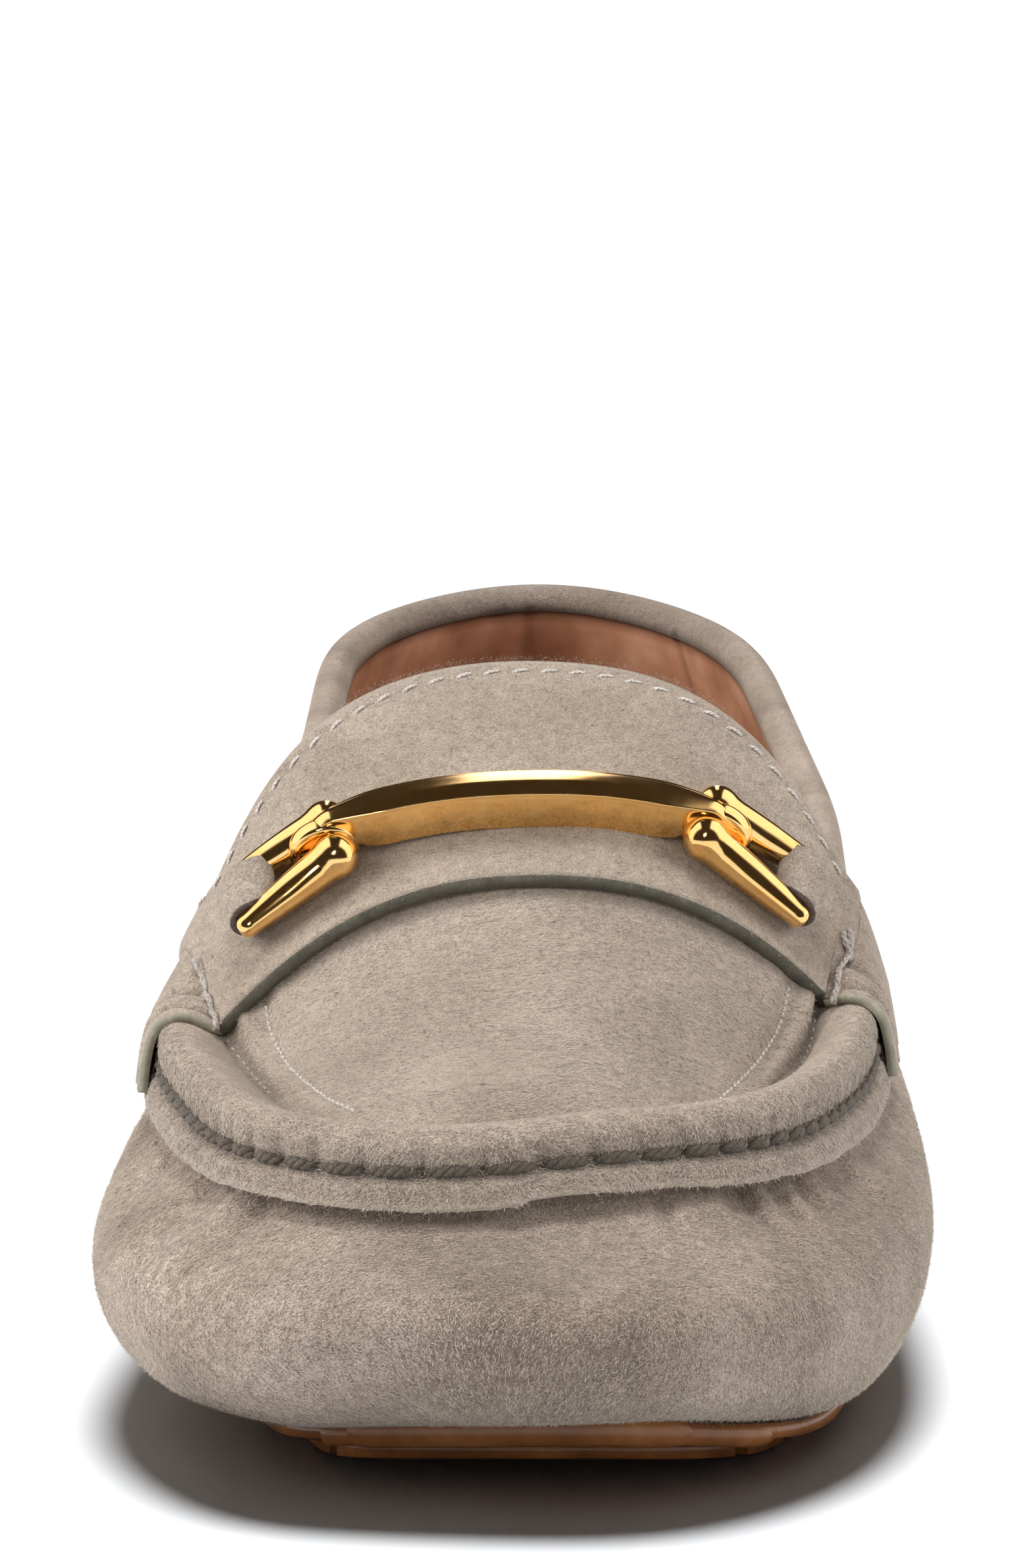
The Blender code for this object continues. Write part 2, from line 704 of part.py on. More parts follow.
def plate(name, wall, reach, top, bottom, span=None, ease=0.0, rows=24):
    """A plate of the sole's outline between two heights over the ground line."""
    at, front, back = sole_bounds(wall, reach)
    start, end = (at_length(share) for share in span) if span else (front, back)
    start, end = max(start, front + 0.0004), min(end, back - 0.0004)
    across = np.array([-1, -0.95, -0.8, -0.4, 0, 0.4, 0.8, 0.95, 1.0])
    upper, lower = [], []
    for k in range(rows + 1):
        y = start + (end - start) * (1 - math.cos(k / rows * math.pi)) / 2
        medial, lateral = at(y)
        x = (medial + lateral) / 2 + (lateral - medial) / 2 * across
        rounding = ease * smooth((abs(across) - 0.8) / 0.2)
        ground = ground_rise(y)
        near_end = smooth(1 - min(y - start, end - y) / END_EASE)
        rounding = np.maximum(rounding, ease * near_end)
        upper.append(np.column_stack([x, np.full(9, y), np.full(9, ground + top)]))
        lower.append(np.column_stack([x, np.full(9, y), ground + bottom + rounding]))
    points, faces = sheet_solid(np.array(upper), np.array(lower))
    return new_object(name, points, faces, GUM, 0.55)


def hide(obj):
    obj.hide_render = True
    obj.display_type = "WIRE"
    return obj


def box(name, low, high):
    corners = [(x, y, z) for x in (low[0], high[0]) for y in (low[1], high[1]) for z in (low[2], high[2])]
    faces = [(0, 1, 3, 2), (4, 6, 7, 5), (0, 4, 5, 1), (2, 3, 7, 6), (0, 2, 6, 4), (1, 5, 7, 3)]
    return new_object(name, corners, faces, GUM, 0.55)


def combine(obj, other, operation):
    modifier = obj.modifiers.new(other.name, "BOOLEAN")
    modifier.object = hide(other)
    modifier.operation = operation
    modifier.solver = "EXACT"


def make_outsole(wall):
    """The rubber sole: a plate with a raised tread pad under the forefoot and under the heel."""
    sole = plate("outsole", wall, SOLE_REACH, sole_top(), TREAD, ease=PLATE * 0.35)
    helpers = []
    for name, span in PADS.items():
        reach = SOLE_REACH - PAD_INSET
        pad = plate(f"{name}_pad", wall, reach, TREAD + PLATE / 3, 0.0, span, TREAD * 0.3, rows=12)
        combine(sole, pad, "UNION")
        helpers.append(pad)
        start, end = (at_length(share) for share in span)
        count = int((end - start) / GROOVE_PITCH)
        first = (start + end) / 2 - (count - 1) / 2 * GROOVE_PITCH
        for k in range(count):
            y = first + k * GROOVE_PITCH
            height = float(ground_rise(y)) + GROOVE_DEPTH
            low = (-half_width(), y - GROOVE / 2, -GROOVE_DEPTH)
            cutter = box(f"{name}_groove_{k}", low, (half_width(), y + GROOVE / 2, height))
            combine(sole, cutter, "DIFFERENCE")
            helpers.append(cutter)
    return sole, helpers


def make_insole(wall):
    shelf = sole_top() + FIT + WALL + FIT
    sock = plate("insole", wall, INSOLE_REACH, shelf + INSOLE, shelf, ease=INSOLE * 0.7, rows=20)
    paint(sock, COPPER, 0.6, 0.0)
    return sock


def round_frame(along):
    """Two directions square to a line."""
    along = unit(along)
    side = np.cross(along, [0, 0, 1.0])
    if np.linalg.norm(side) < 1e-3:
        side = np.cross(along, [1.0, 0, 0])
    side = unit(side)
    return side, np.cross(side, along)


def tube_mesh(centres, radii, twist=0.0):
    """A capped round bar through centres, with its radius at each, turned by a share of a side."""
    side, lift = round_frame(np.asarray(centres[-1]) - np.asarray(centres[0]))
    points, faces = [], []
    for centre, radius in zip(centres, radii):
        for k in range(ROUND_SIDES):
            angle = 2 * math.pi * (k + twist) / ROUND_SIDES
            points.append(centre + radius * (side * math.cos(angle) + lift * math.sin(angle)))
    for i in range(len(centres) - 1):
        for k in range(ROUND_SIDES):
            after = (k + 1) % ROUND_SIDES
            a, b = i * ROUND_SIDES, (i + 1) * ROUND_SIDES
            faces.append((a + k, a + after, b + after, b + k))
    faces.append(tuple(reversed(range(ROUND_SIDES))))
    last = (len(centres) - 1) * ROUND_SIDES
    faces.append(tuple(last + k for k in range(ROUND_SIDES)))
    return points, faces


def ball_mesh(centre, radius, along):
    """A ball as a stack of rounds along a direction."""
    steps = 6
    centres, radii = [], []
    for k in range(steps + 1):
        angle = math.pi * (k + 0.25) / (steps + 0.5)
        centres.append(centre - unit(along) * radius * math.cos(angle))
        radii.append(radius * math.sin(angle))
    return tube_mesh(centres, radii)


class Stirrup:
    """Where one stirrup and its eye lie on the strap. side: -1 medial, 1 lateral."""

    def __init__(self, strap, side):
        place, up, out, back = strap.frame(BIT_PLACE, side * BIT_HALF_SPAN)
        self.eye = place + up * (EYE_RADIUS + FIT)
        self.back = back
        self.up = up
        self.out = out
        reach = side * (BIT_HALF_SPAN + STIRRUP_REACH)
        place, self.far_up, self.far_out, _ = strap.frame(LINK_PLACES[side], reach)
        lift = FIT + KEEPER + FIT + LINK
        self.far = place + self.far_up * lift
        self.balls = [self.eye + back * BALL_SPREAD * way for way in (-1, 1)]
        self.tips = [self.far + back * TIP_SPREAD * way for way in (-1, 1)]


def union(name, meshes, color, roughness, metallic):
    """One object joined from several closed meshes."""
    parts = [
        new_object(f"{name}_{k}" if k else name, points, faces, color, roughness, metallic)
        for k, (points, faces) in enumerate(meshes)
    ]
    for other in parts[1:]:
        combine(parts[0], other, "UNION")
    return parts[0], parts[1:]


def make_stirrup(name, place):
    meshes = [tube_mesh([place.balls[0], place.balls[1]], [LINK, LINK], 0.5)]
    for ball, tip in zip(place.balls, place.tips):
        meshes.append(ball_mesh(ball, BALL, place.back))
        reach = tip - ball
        path = [ball + reach * share for share in (0.03, 0.35, 0.75, 1.0, 1.07, 1.1)]
        radii = [BALL * 0.7, BALL * 0.8, TIP * 1.15, TIP, TIP * 0.75, TIP * 0.4]
        meshes.append(tube_mesh(path, radii, 0.25))
    ends = [place.far + (tip - place.far) * 0.96 for tip in place.tips]
    meshes.append(tube_mesh(ends, [LINK, LINK], 0.35))
    return union(name, meshes, GOLD, 0.15, 1.0)


def eye_mesh(place):
    """The ring at a bar's end, round the stirrup's inner link."""
    loops = []
    hole = LINK + FIT
    sides = 20
    for k in range(sides):
        angle = 2 * math.pi * k / sides
        spoke = place.out * math.cos(angle) + place.up * math.sin(angle)
        for radius, half in ((hole, -1), (EYE_RADIUS, -1), (EYE_RADIUS, 1), (hole, 1)):
            loops.append(place.eye + spoke * radius + place.back * EYE_WIDTH / 2 * half)
    return loops, ring_faces(sides, 4)


def bar_mesh(strap, medial, lateral):
    """The arched bar, a rounded square section that slims towards its eyes."""
    _, up, _, back = strap.frame(BIT_PLACE, 0.0)
    half_eye = (EYE_RADIUS + LINK + FIT) / 2
    start = medial.eye - medial.out * half_eye
    end = lateral.eye - lateral.out * half_eye
    steps = 12
    swings = np.linspace(-1, 1, steps + 1)
    chord = start + (end - start) * (swings[:, None] + 1) / 2
    rise = BAR_ARCH
    for swing, place in zip(swings[2:-2], chord[2:-2]):
        surface, normal, _, _ = strap.frame(BIT_PLACE, place[0])
        gap = (place - surface).dot(normal)
        rise = max(rise, (FIT + BAR_DEPTH / 2 - gap) / (1 - swing * swing))
    rounds = []
    for swing, place in zip(swings, chord):
        centre = place + up * rise * (1 - swing * swing)
        along = unit((end - start) - up * rise * 4 * swing)
        lift = unit(np.cross(back, along))
        lift = lift if lift[2] > 0 else -lift
        slim = smooth((abs(swing) - 0.72) / 0.28)
        wide = (BAR_WIDTH + (EYE_WIDTH - BAR_WIDTH) * slim) / 2
        deep = BAR_DEPTH / 2 * (1 - 0.35 * slim)
        for a, b in ((-1, -1), (-1, 0.35), (-0.6, 0.85), (0, 1), (0.6, 0.85), (1, 0.35), (1, -1)):
            rounds.append(centre + back * wide * a + lift * deep * b)
    count = 7
    faces = []
    for i in range(steps):
        for j in range(count):
            after = (j + 1) % count
            near, far = i * count, (i + 1) * count
            faces.append((near + j, far + j, far + after, near + after))
    faces.append(tuple(range(count)))
    faces.append(tuple(steps * count + j for j in reversed(range(count))))
    return rounds, faces


def make_bar(strap, medial, lateral):
    meshes = [bar_mesh(strap, medial, lateral), eye_mesh(medial), eye_mesh(lateral)]
    return union("bit_bar", meshes, GOLD, 0.15, 1.0)


def make_keeper(name, place):
    """The folded suede tab that holds a stirrup's outer link to the strap."""
    inner = LINK + FIT
    outer = inner + KEEPER
    section = [(-KEEPER_TAIL, outer), (0, outer)]
    foot = KEEPER_TAIL * 0.4
    turns = 6
    bend = [math.pi * k / turns for k in range(1, turns)]
    section += [(outer * math.sin(angle), outer * math.cos(angle)) for angle in bend]
    section += [(0, -outer), (-foot, -outer), (-foot, -inner), (0, -inner)]
    section += [(inner * math.sin(angle), inner * math.cos(angle)) for angle in reversed(bend)]
    section += [(0, inner), (-KEEPER_TAIL, inner)]
    back = unit(place.tips[1] - place.tips[0])
    between = TIP_SPREAD - TIP * 1.2 - FIT
    ends = [-between, between]
    points = []
    for end in ends:
        for out, up in section:
            points.append(place.far + back * end + place.far_out * out + place.far_up * up)
    count = len(section)
    faces = [(j, (j + 1) % count, count + (j + 1) % count, count + j) for j in range(count)]
    half = count // 2
    for base, turn in ((0, 1), (count, -1)):
        for j in range(half - 1):
            quad = [base + j, base + j + 1, base + count - 2 - j, base + count - 1 - j]
            faces.append(tuple(quad[::turn]))
    return new_object(name, points, faces, SUEDE, 0.95)


def centre_over_floor(upper, everything):
    """Puts the middle of the shoe's length and width at the origin."""
    points = np.array([vertex.co for vertex in upper.data.vertices])
    middle = (points.min(axis=0) + points.max(axis=0)) / 2
    for obj in everything:
        obj.location = (-middle[0], -middle[1], 0)


def main():
    for obj in list(bpy.data.objects):
        bpy.data.objects.remove(obj)
    wall = Wall()
    apron = Apron(wall)
    strap = Strap(wall, apron)
    upper = make_upper(wall)
    sole, helpers = make_outsole(wall)
    everything = [upper, sole, *helpers, make_insole(wall), make_apron(wall, apron), make_strap(strap)]
    medial, lateral = Stirrup(strap, -1), Stirrup(strap, 1)
    for name, place in (("medial", medial), ("lateral", lateral)):
        stirrup, pieces = make_stirrup(f"stirrup_{name}", place)
        everything += [stirrup, *pieces, make_keeper(f"keeper_{name}", place)]
    bar, pieces = make_bar(strap, medial, lateral)
    everything += [bar, *pieces]
    centre_over_floor(upper, everything)


main()
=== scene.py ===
"""Looks of a left suede driving loafer with a snaffle bit, in metres.

The toe points towards -Y, the heel towards +Y, and the floor is at Z = 0. The big toe's side,
medial, is at -X. Leather, rubber and metal are drawn from the last's own sections, finer than the
solids are, and the thread, folds, gathers and nap are worked into them.
"""

import math

import bmesh
import bpy
import numpy as np
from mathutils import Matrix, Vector
from mathutils.bvhtree import BVHTree


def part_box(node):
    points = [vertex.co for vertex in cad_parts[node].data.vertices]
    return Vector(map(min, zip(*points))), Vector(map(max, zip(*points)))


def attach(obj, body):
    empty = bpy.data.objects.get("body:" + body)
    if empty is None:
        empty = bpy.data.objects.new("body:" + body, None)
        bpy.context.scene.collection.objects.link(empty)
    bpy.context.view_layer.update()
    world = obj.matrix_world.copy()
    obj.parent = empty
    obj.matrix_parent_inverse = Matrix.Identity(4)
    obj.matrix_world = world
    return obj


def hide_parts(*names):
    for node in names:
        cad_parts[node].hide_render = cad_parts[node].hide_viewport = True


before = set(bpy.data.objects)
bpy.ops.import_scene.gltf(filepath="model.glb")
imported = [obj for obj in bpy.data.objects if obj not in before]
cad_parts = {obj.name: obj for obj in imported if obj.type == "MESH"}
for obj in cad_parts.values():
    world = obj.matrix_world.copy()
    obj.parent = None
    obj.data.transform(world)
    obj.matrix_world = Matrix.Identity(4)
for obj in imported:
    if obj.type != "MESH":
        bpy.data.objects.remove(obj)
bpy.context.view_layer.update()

MM = 0.001

# Driving sizes of the last
LENGTH = 279.5 * MM
BALL_WIDTH = 106 * MM
HEEL_HEIGHT = 68 * MM
INSTEP_HEIGHT = 83.2 * MM
SHOULDER_HEIGHT = 21.5 * MM
TOE_SPRING = 6.3 * MM
ARCH_RISE = 2.2 * MM
HEEL_BEVEL = 1.2 * MM

# Leather
WALL = 2.1 * MM
COLLAR = 5.0 * MM
COLLAR_DEPTH = 13 * MM
COLLAR_WRAP = 0.9 * MM  # how far the suede runs down inside the collar, to the lining
TURN_UNDER = 9 * MM
APRON = 1.8 * MM
SEWN = 0.42  # share of the apron's thickness that the hand seam leaves
ROLL_BULGE = 1.9 * MM
LIP = 5.0 * MM
LIP_FLARE = 0.3 * MM
STAND = 6.2 * MM
STAND_LEAN = 76  # degrees
STRAP = 2.2 * MM
EAR = 1.2 * MM  # the strap's ears are skived thinner than the saddle
KEEPER = 1.2 * MM
FIT = 0.3 * MM
STRAP_FIT = 0.4 * MM
EAR_CUT = 0.2  # where the ears end, as a share of the way up the lip
EAR_BELLY = 0.35 * MM
EAR_CREASES = (2.6 * MM, 7.4 * MM)  # behind the ear's front edge
EAR_CREASE_DEPTH = 0.85 * MM

# Rubber and sock
PLATE = 3.0 * MM
TREAD = 1.8 * MM
SOLE_REACH = 0.6 * MM
PAD_INSET = 5.5 * MM
GROOVE = 2.4 * MM
GROOVE_PITCH = 12.5 * MM
INSOLE = 2.5 * MM
INSOLE_REACH = 2.8 * MM
END_EASE = 9 * MM
PLATE_POINTS = 33  # across the sole

# The toe's two rubber lips: first and last place round the toe, how far they stand out, top and bottom
BUMPER_ROWS = (
    (-31 * MM, 58 * MM, 0.2 * MM, 4.7 * MM, 1.5 * MM),
    (-19 * MM, 40 * MM, 0.75 * MM, 5.6 * MM, 1.2 * MM),
)
BUMPER_ROOT = 1.6 * MM
BUMPER_END = 6 * MM

# The bit
BIT_PLACE = 0.303  # share of LENGTH, at the bar's middle
EYE_PLACES = {-1: (-23.2 * MM, 0.293), 1: (22.8 * MM, 0.306)}  # across, and share of LENGTH
EYE_STAND = 3.4 * MM
EYE_RADIUS = 4.6 * MM
EYE_HOLE = 3.0 * MM
EYE_HANG = (1.2 * MM, -1.0 * MM)  # out and up from the link to the ring's middle
EYE_WIDTH = 2.4 * MM
BAR_FACE = 5.5 * MM  # height of the bar's flat front face
BAR_WIDTH = 5.4 * MM
BAR_STAND = 2.75 * MM
BALL = 3.0 * MM
BALL_SPREAD = 3.0 * MM
RIDGE = 20  # degrees above the front, where the arm's two faces meet
ARM = 2.55 * MM  # half the arm's width at its fullest
LINK = 1.35 * MM
TIP = 1.65 * MM
TIP_SPREAD = 4.5 * MM
TIP_TWIST = 0.9 * MM  # the keepers stand turned, their rear ends further in
LINK_PLACES = {-1: (-33.2 * MM, 0.286), 1: (33.9 * MM, 0.3085)}
KEEPER_LENGTH = 7.2 * MM
KEEPER_FOLD = 1.25 * MM  # the tab and its lining, rolled tight
KEEPER_PLAY = 0.1 * MM  # between the link and the tab
KEEPER_SWELL = 0.35 * MM  # how much fuller it is at its rear
KEEPER_PINCH = 0.2 * MM  # how far its front edge is drawn in
KEEPER_PINCH_OVER = 0.5 * MM
BAR_IN_RIM = 36  # degrees above level, where the bar's end runs into the ring's rim
BAR_BOW = 2.3  # power of the bar's curve, 2 for an even arch
BAR_SLIMS = 0.60  # share of the half bar from which it slims, and its top from the next one
BAR_TOP_SLIMS = 0.84
BAR_STEP = 0.72  # share of the half bar where its lower edge steps up
BAR_STEP_OVER = 0.012  # share of the half bar that the step takes
BAR_STEP_BY = 0.28  # share of the face's lower half that it takes off
BAR_SHARP = 38  # degrees from which an edge of the bar stays crisp
ARM_SQUARE = 2.4  # power of the arm's section, 2 for a round one
ARM_TAPER = 2.1  # power of its taper from ball to tip, 1 for a cone
ARM_BLEND = 9  # the higher, the sharper the crease between ball and arm
ARM_POLE = 0.04  # radians left open at the arm's two ends, for their flat caps
TIP_BLUNT = 2.6  # power of the tip's outline, 2 for a round one
ROUNDED = 0.75  # power of the ring's section, 1 for a round one

# Thread
HAND_THREAD = 0.84 * MM  # half the width of one hand stitch, three plies thick
HAND_PITCH = 9.6 * MM  # at the toe's tip
HAND_PITCH_SIDE = 4.6 * MM  # where the seam turns back
HAND_PITCH_FADE = 62 * MM  # from the toe's tip to there
HAND_TURN = 5.2 * MM  # one turn of the plies
FINE_TURN = 1.1 * MM
WHIP_TURN = 3.4 * MM
FINE_THREAD = 0.26 * MM
THROAT_PITCH = 3.7 * MM
THROAT_MARGIN = 2.4 * MM
NAP = 0.65 * MM
NAP_WIDTH = 0.11 * MM
FOLD_PITCH = 1.45 * MM
FIBRE = 0.035 * MM  # half the width of a loose fibre on an edge

# Creases of the lining round the heel: place from the heel's middle, width, share of the depth
LINING_CREASES = (
    (10.5 * MM, 2.2 * MM, 0.4),
    (3.7 * MM, 1.5 * MM, 0.5),
    (-30 * MM, 0.6 * MM, 0.9),
    (34 * MM, 3 * MM, 0.4),
)
LINING_CREASE_DEPTH = 0.5 * MM
GATHER_DEPTH = 1.3 * MM

# Whip stitches down each ear's seam, in millimetres: start, end, lean and half width
WHIP_STITCHES = (
    (-0.9, 6.6, 0.45, 0.45),
    (5.4, 9.6, -0.5, 0.36),
    (8.6, 14.0, 0.6, 0.48),
    (9.0, 13.4, 1.5, 0.38),
)

# The wall, row by row from the toe tip round the lateral side, the heel and the medial side.
# along, top_along: shares of LENGTH. across, top_across: shares of half BALL_WIDTH. under: how far
# the sole's edge lies inside the widest line, share of BALL_WIDTH. top: share of HEEL_HEIGHT.
# lean: slope below the standing edge, in degrees. collar: 1 where the padding is whole.
WALL_COLUMNS = ("along", "across", "under", "top_along", "top_across", "top", "lean", "collar")
WALL_ROWS = (
    (0.000, -0.150, 0.165, 0.065, -0.150, 0.622, 30, 0),
    (0.004, 0.330, 0.140, 0.089, 0.200, 0.622, 31, 0),
    (0.069, 0.730, 0.108, 0.121, 0.550, 0.620, 38, 0),
    (0.168, 0.935, 0.097, 0.191, 0.740, 0.618, 52, 0),
    (0.274, 0.985, 0.100, 0.286, 0.822, 0.635, 62, 0),
    (0.392, 0.945, 0.105, 0.386, 0.800, 0.765, 76, 0.1),
    (0.517, 0.870, 0.105, 0.509, 0.805, 0.850, 80, 1),
    (0.660, 0.805, 0.100, 0.653, 0.760, 0.885, 83, 1),
    (0.803, 0.750, 0.095, 0.787, 0.690, 0.930, 84, 1),
    (0.928, 0.575, 0.090, 0.908, 0.530, 0.975, 86, 1),
    (1.000, 0.045, 0.095, 0.985, 0.040, 1.000, 88, 1),
    (0.928, -0.500, 0.090, 0.908, -0.455, 0.985, 86, 1),
    (0.803, -0.650, 0.095, 0.787, -0.580, 0.955, 84, 1),
    (0.660, -0.690, 0.108, 0.653, -0.595, 0.935, 83, 1),
    (0.517, -0.760, 0.125, 0.509, -0.630, 0.910, 80, 1),
    (0.384, -0.885, 0.150, 0.372, -0.715, 0.775, 76, 0.1),
    (0.281, -0.970, 0.175, 0.276, -0.830, 0.640, 62, 0),
    (0.191, -1.000, 0.195, 0.203, -0.785, 0.618, 52, 0),
    (0.102, -0.920, 0.195, 0.127, -0.680, 0.620, 38, 0),
    (0.025, -0.640, 0.180, 0.078, -0.480, 0.622, 31, 0),
)

# Lines over the foot, from the medial and lateral seam to the spine, in shares of LENGTH
TOE_FOCUS = 0.127
STRAP_FRONT = (0.252, 0.281, 0.273)
STRAP_BACK = (0.345, 0.361, 0.399)

# The spine over the foot. rise: share of INSTEP_HEIGHT
SPINE_COLUMNS = ("along", "across", "rise")
SPINE_ROWS = (
    (0.076, -0.100, 0.515),
    (0.096, -0.095, 0.545),
    (0.127, -0.085, 0.572),
    (0.168, -0.060, 0.610),
    (0.220, -0.010, 0.673),
    (0.267, 0.040, 0.748),
    (0.317, 0.045, 0.848),
    (0.363, 0.020, 0.943),
    (0.399, 0.000, 1.013),
    (0.425, 0.000, 1.066),
)

# The rolled rim from the toe, seam 0, to the throat's corner, seam 1
RIM_COLUMNS = ("seam", "roll", "valley", "crest", "arch")
RIM_ROWS = (
    (0.00, 0.095, 0.045, 0.055, 2.0),
    (0.25, 0.098, 0.036, 0.062, 2.0),
    (0.50, 0.096, 0.022, 0.080, 2.0),
    (0.72, 0.079, 0.040, 0.072, 2.1),
    (0.86, 0.062, 0.085, 0.052, 2.7),
    (1.00, 0.040, 0.160, 0.034, 4.0),
)

# Where the pads, the toe's spring, the flats and the arch begin and end, in shares of LENGTH
PADS = {"forefoot": (0.068, 0.425), "heel": (0.707, 0.954)}
SPRING_END = 0.052
FLAT_START = 0.172
ARCH_START = 0.425
ARCH_END = 0.707
HEEL_FLAT_END = 0.923

# Fold lines on the apron's panel, from the strap to the toe, as across and along in shares of half
# BALL_WIDTH and of LENGTH: the sewn line inside and the plain fold outside it, on each side.
SEWN_FOLDS = {
    -1: ((-0.607, 0.255), (-0.586, 0.232), (-0.530, 0.191), (-0.440, 0.141), (-0.368, 0.112)),
    1: ((0.640, 0.284), (0.618, 0.258), (0.578, 0.227), (0.520, 0.190), (0.450, 0.150)),
}
PLAIN_FOLDS = {
    -1: ((-0.690, 0.250), (-0.645, 0.225), (-0.585, 0.185), (-0.535, 0.152)),
    1: ((0.705, 0.288), (0.690, 0.265), (0.655, 0.227), (0.600, 0.172)),
}
# The raised rib between those two lines
RIBS = {
    -1: ((-0.668, 0.258), (-0.643, 0.247), (-0.613, 0.227)),
    1: ((0.687, 0.290), (0.666, 0.271), (0.623, 0.235), (0.579, 0.199), (0.540, 0.172)),
}
# The seam between saddle and ear, across and along as above, from the front edge backwards
EAR_SEAMS = {
    -1: ((-0.722, 0.246), (-0.742, 0.262), (-0.775, 0.290), (-0.805, 0.345)),
    1: ((0.742, 0.282), (0.765, 0.302), (0.795, 0.325), (0.800, 0.361)),
}

# The camera, with its lens in millimetres and its angles in degrees
CAMERA_PLACE = (8.3 * MM, -1074 * MM, 278.5 * MM)
CAMERA_LENS = 187.9
CAMERA_PITCH = 11.29
CAMERA_YAW = -0.52

# Fineness
WALL_STATIONS = 560
TOE_LINES = 84
STRAP_LINES = 41
LIP_STEPS = 9
ROLL_STEPS = 34
PANEL_STEPS = 50
SADDLE_COLUMNS = 130
EAR_COLUMNS = 44
ROUND = 32


def half_width():
    return BALL_WIDTH / 2


def at_length(share):
    return LENGTH * (np.asarray(share, float) - 0.5)


def smooth(value):
    value = np.clip(value, 0.0, 1.0)
    return value * value * (3 - 2 * value)


def unit(vectors):
    vectors = np.asarray(vectors, float)
    return vectors / np.maximum(np.linalg.norm(vectors, axis=-1, keepdims=True), 1e-12)


def bell(distance, width):
    return np.exp(-((np.asarray(distance) / width) ** 2))


def column(rows, columns, name):
    return np.array([row[columns.index(name)] for row in rows], float)


def lengths_along(points, axis=0):
    """How far along its line each point lies, the lines running along one axis of a grid."""
    steps = np.linalg.norm(np.diff(points, axis=axis), axis=-1)
    start = np.zeros_like(np.take(steps, [0], axis=axis))
    return np.concatenate([start, np.cumsum(steps, axis=axis)], axis=axis)


def read_at(wanted, places, rows):
    """Rows of values at the wanted places, read between the places that they are known at."""
    return np.column_stack([np.interp(wanted, places, rows[:, k]) for k in range(rows.shape[1])])


def ground_rise(y):
    """How far the sole's bottom lies over the floor: toe spring, arch and heel bevel."""
    share = np.asarray(y, float) / LENGTH + 0.5
    spring = np.clip((FLAT_START - share) / (FLAT_START - SPRING_END), 0, None)
    arch = np.clip((share - ARCH_START) / (ARCH_END - ARCH_START), 0, 1)
    heel = np.clip((share - HEEL_FLAT_END) / (PADS["heel"][1] - HEEL_FLAT_END), 0, None)
    return TOE_SPRING * spring**2 + ARCH_RISE * np.sin(math.pi * arch) ** 2 + HEEL_BEVEL * heel**2


def wander(place, spacing, seed):
    """A smooth random line between -1 and 1, with a new value at each spacing."""
    values = np.random.RandomState(seed).uniform(-1, 1, 4096)
    place = np.asarray(place, float) / spacing + 2000
    index = np.floor(place).astype(int)
    share = smooth(place - index)
    return values[index % 4096] * (1 - share) + values[(index + 1) % 4096] * share


class RoundCurve:
    """A smooth closed curve through rows of values."""

    def __init__(self, knots, period, values):
        self.knots = np.append(knots, period)
        self.values = np.vstack([values, values[:1]])
        self.step = np.diff(self.knots)
        self.period = period
        count = len(knots)
        matrix, right = np.zeros((count, count)), np.zeros((count, values.shape[1]))
        for i in range(count):
            before, after = self.step[i - 1], self.step[i]
            matrix[i, i - 1] += before
            matrix[i, i] += 2 * (before + after)
            matrix[i, (i + 1) % count] += after
            right[i] = (self.values[i + 1] - self.values[i]) / after
            right[i] -= (self.values[i] - values[i - 1]) / before
        bend = np.linalg.solve(matrix, 6 * right)
        self.bend = np.vstack([bend, bend[:1]])

    def __call__(self, u):
        u = np.mod(np.asarray(u, float), self.period)
        i = np.clip(np.searchsorted(self.knots, u, side="right") - 1, 0, len(self.step) - 1)
        h = self.step[i][..., None]
        a = (self.knots[i + 1] - u)[..., None] / h
        b = 1 - a
        curved = (a**3 - a) * self.bend[i] + (b**3 - b) * self.bend[i + 1]
        return a * self.values[i] + b * self.values[i + 1] + curved * h**2 / 6


def open_curve(knots, values):
    """A smooth curve through a few values, as a function."""
    knots, values = np.asarray(knots, float), np.asarray(values, float)
    slopes = np.gradient(values, knots)

    def at(x):
        x = np.clip(np.asarray(x, float), knots[0], knots[-1])
        i = np.clip(np.searchsorted(knots, x, side="right") - 1, 0, len(knots) - 2)
        h = knots[i + 1] - knots[i]
        t = (x - knots[i]) / h
        start = (1 + 2 * t) * (1 - t) ** 2 * values[i] + t * (1 - t) ** 2 * h * slopes[i]
        return start + t**2 * (3 - 2 * t) * values[i + 1] + t**2 * (t - 1) * h * slopes[i + 1]

    return at


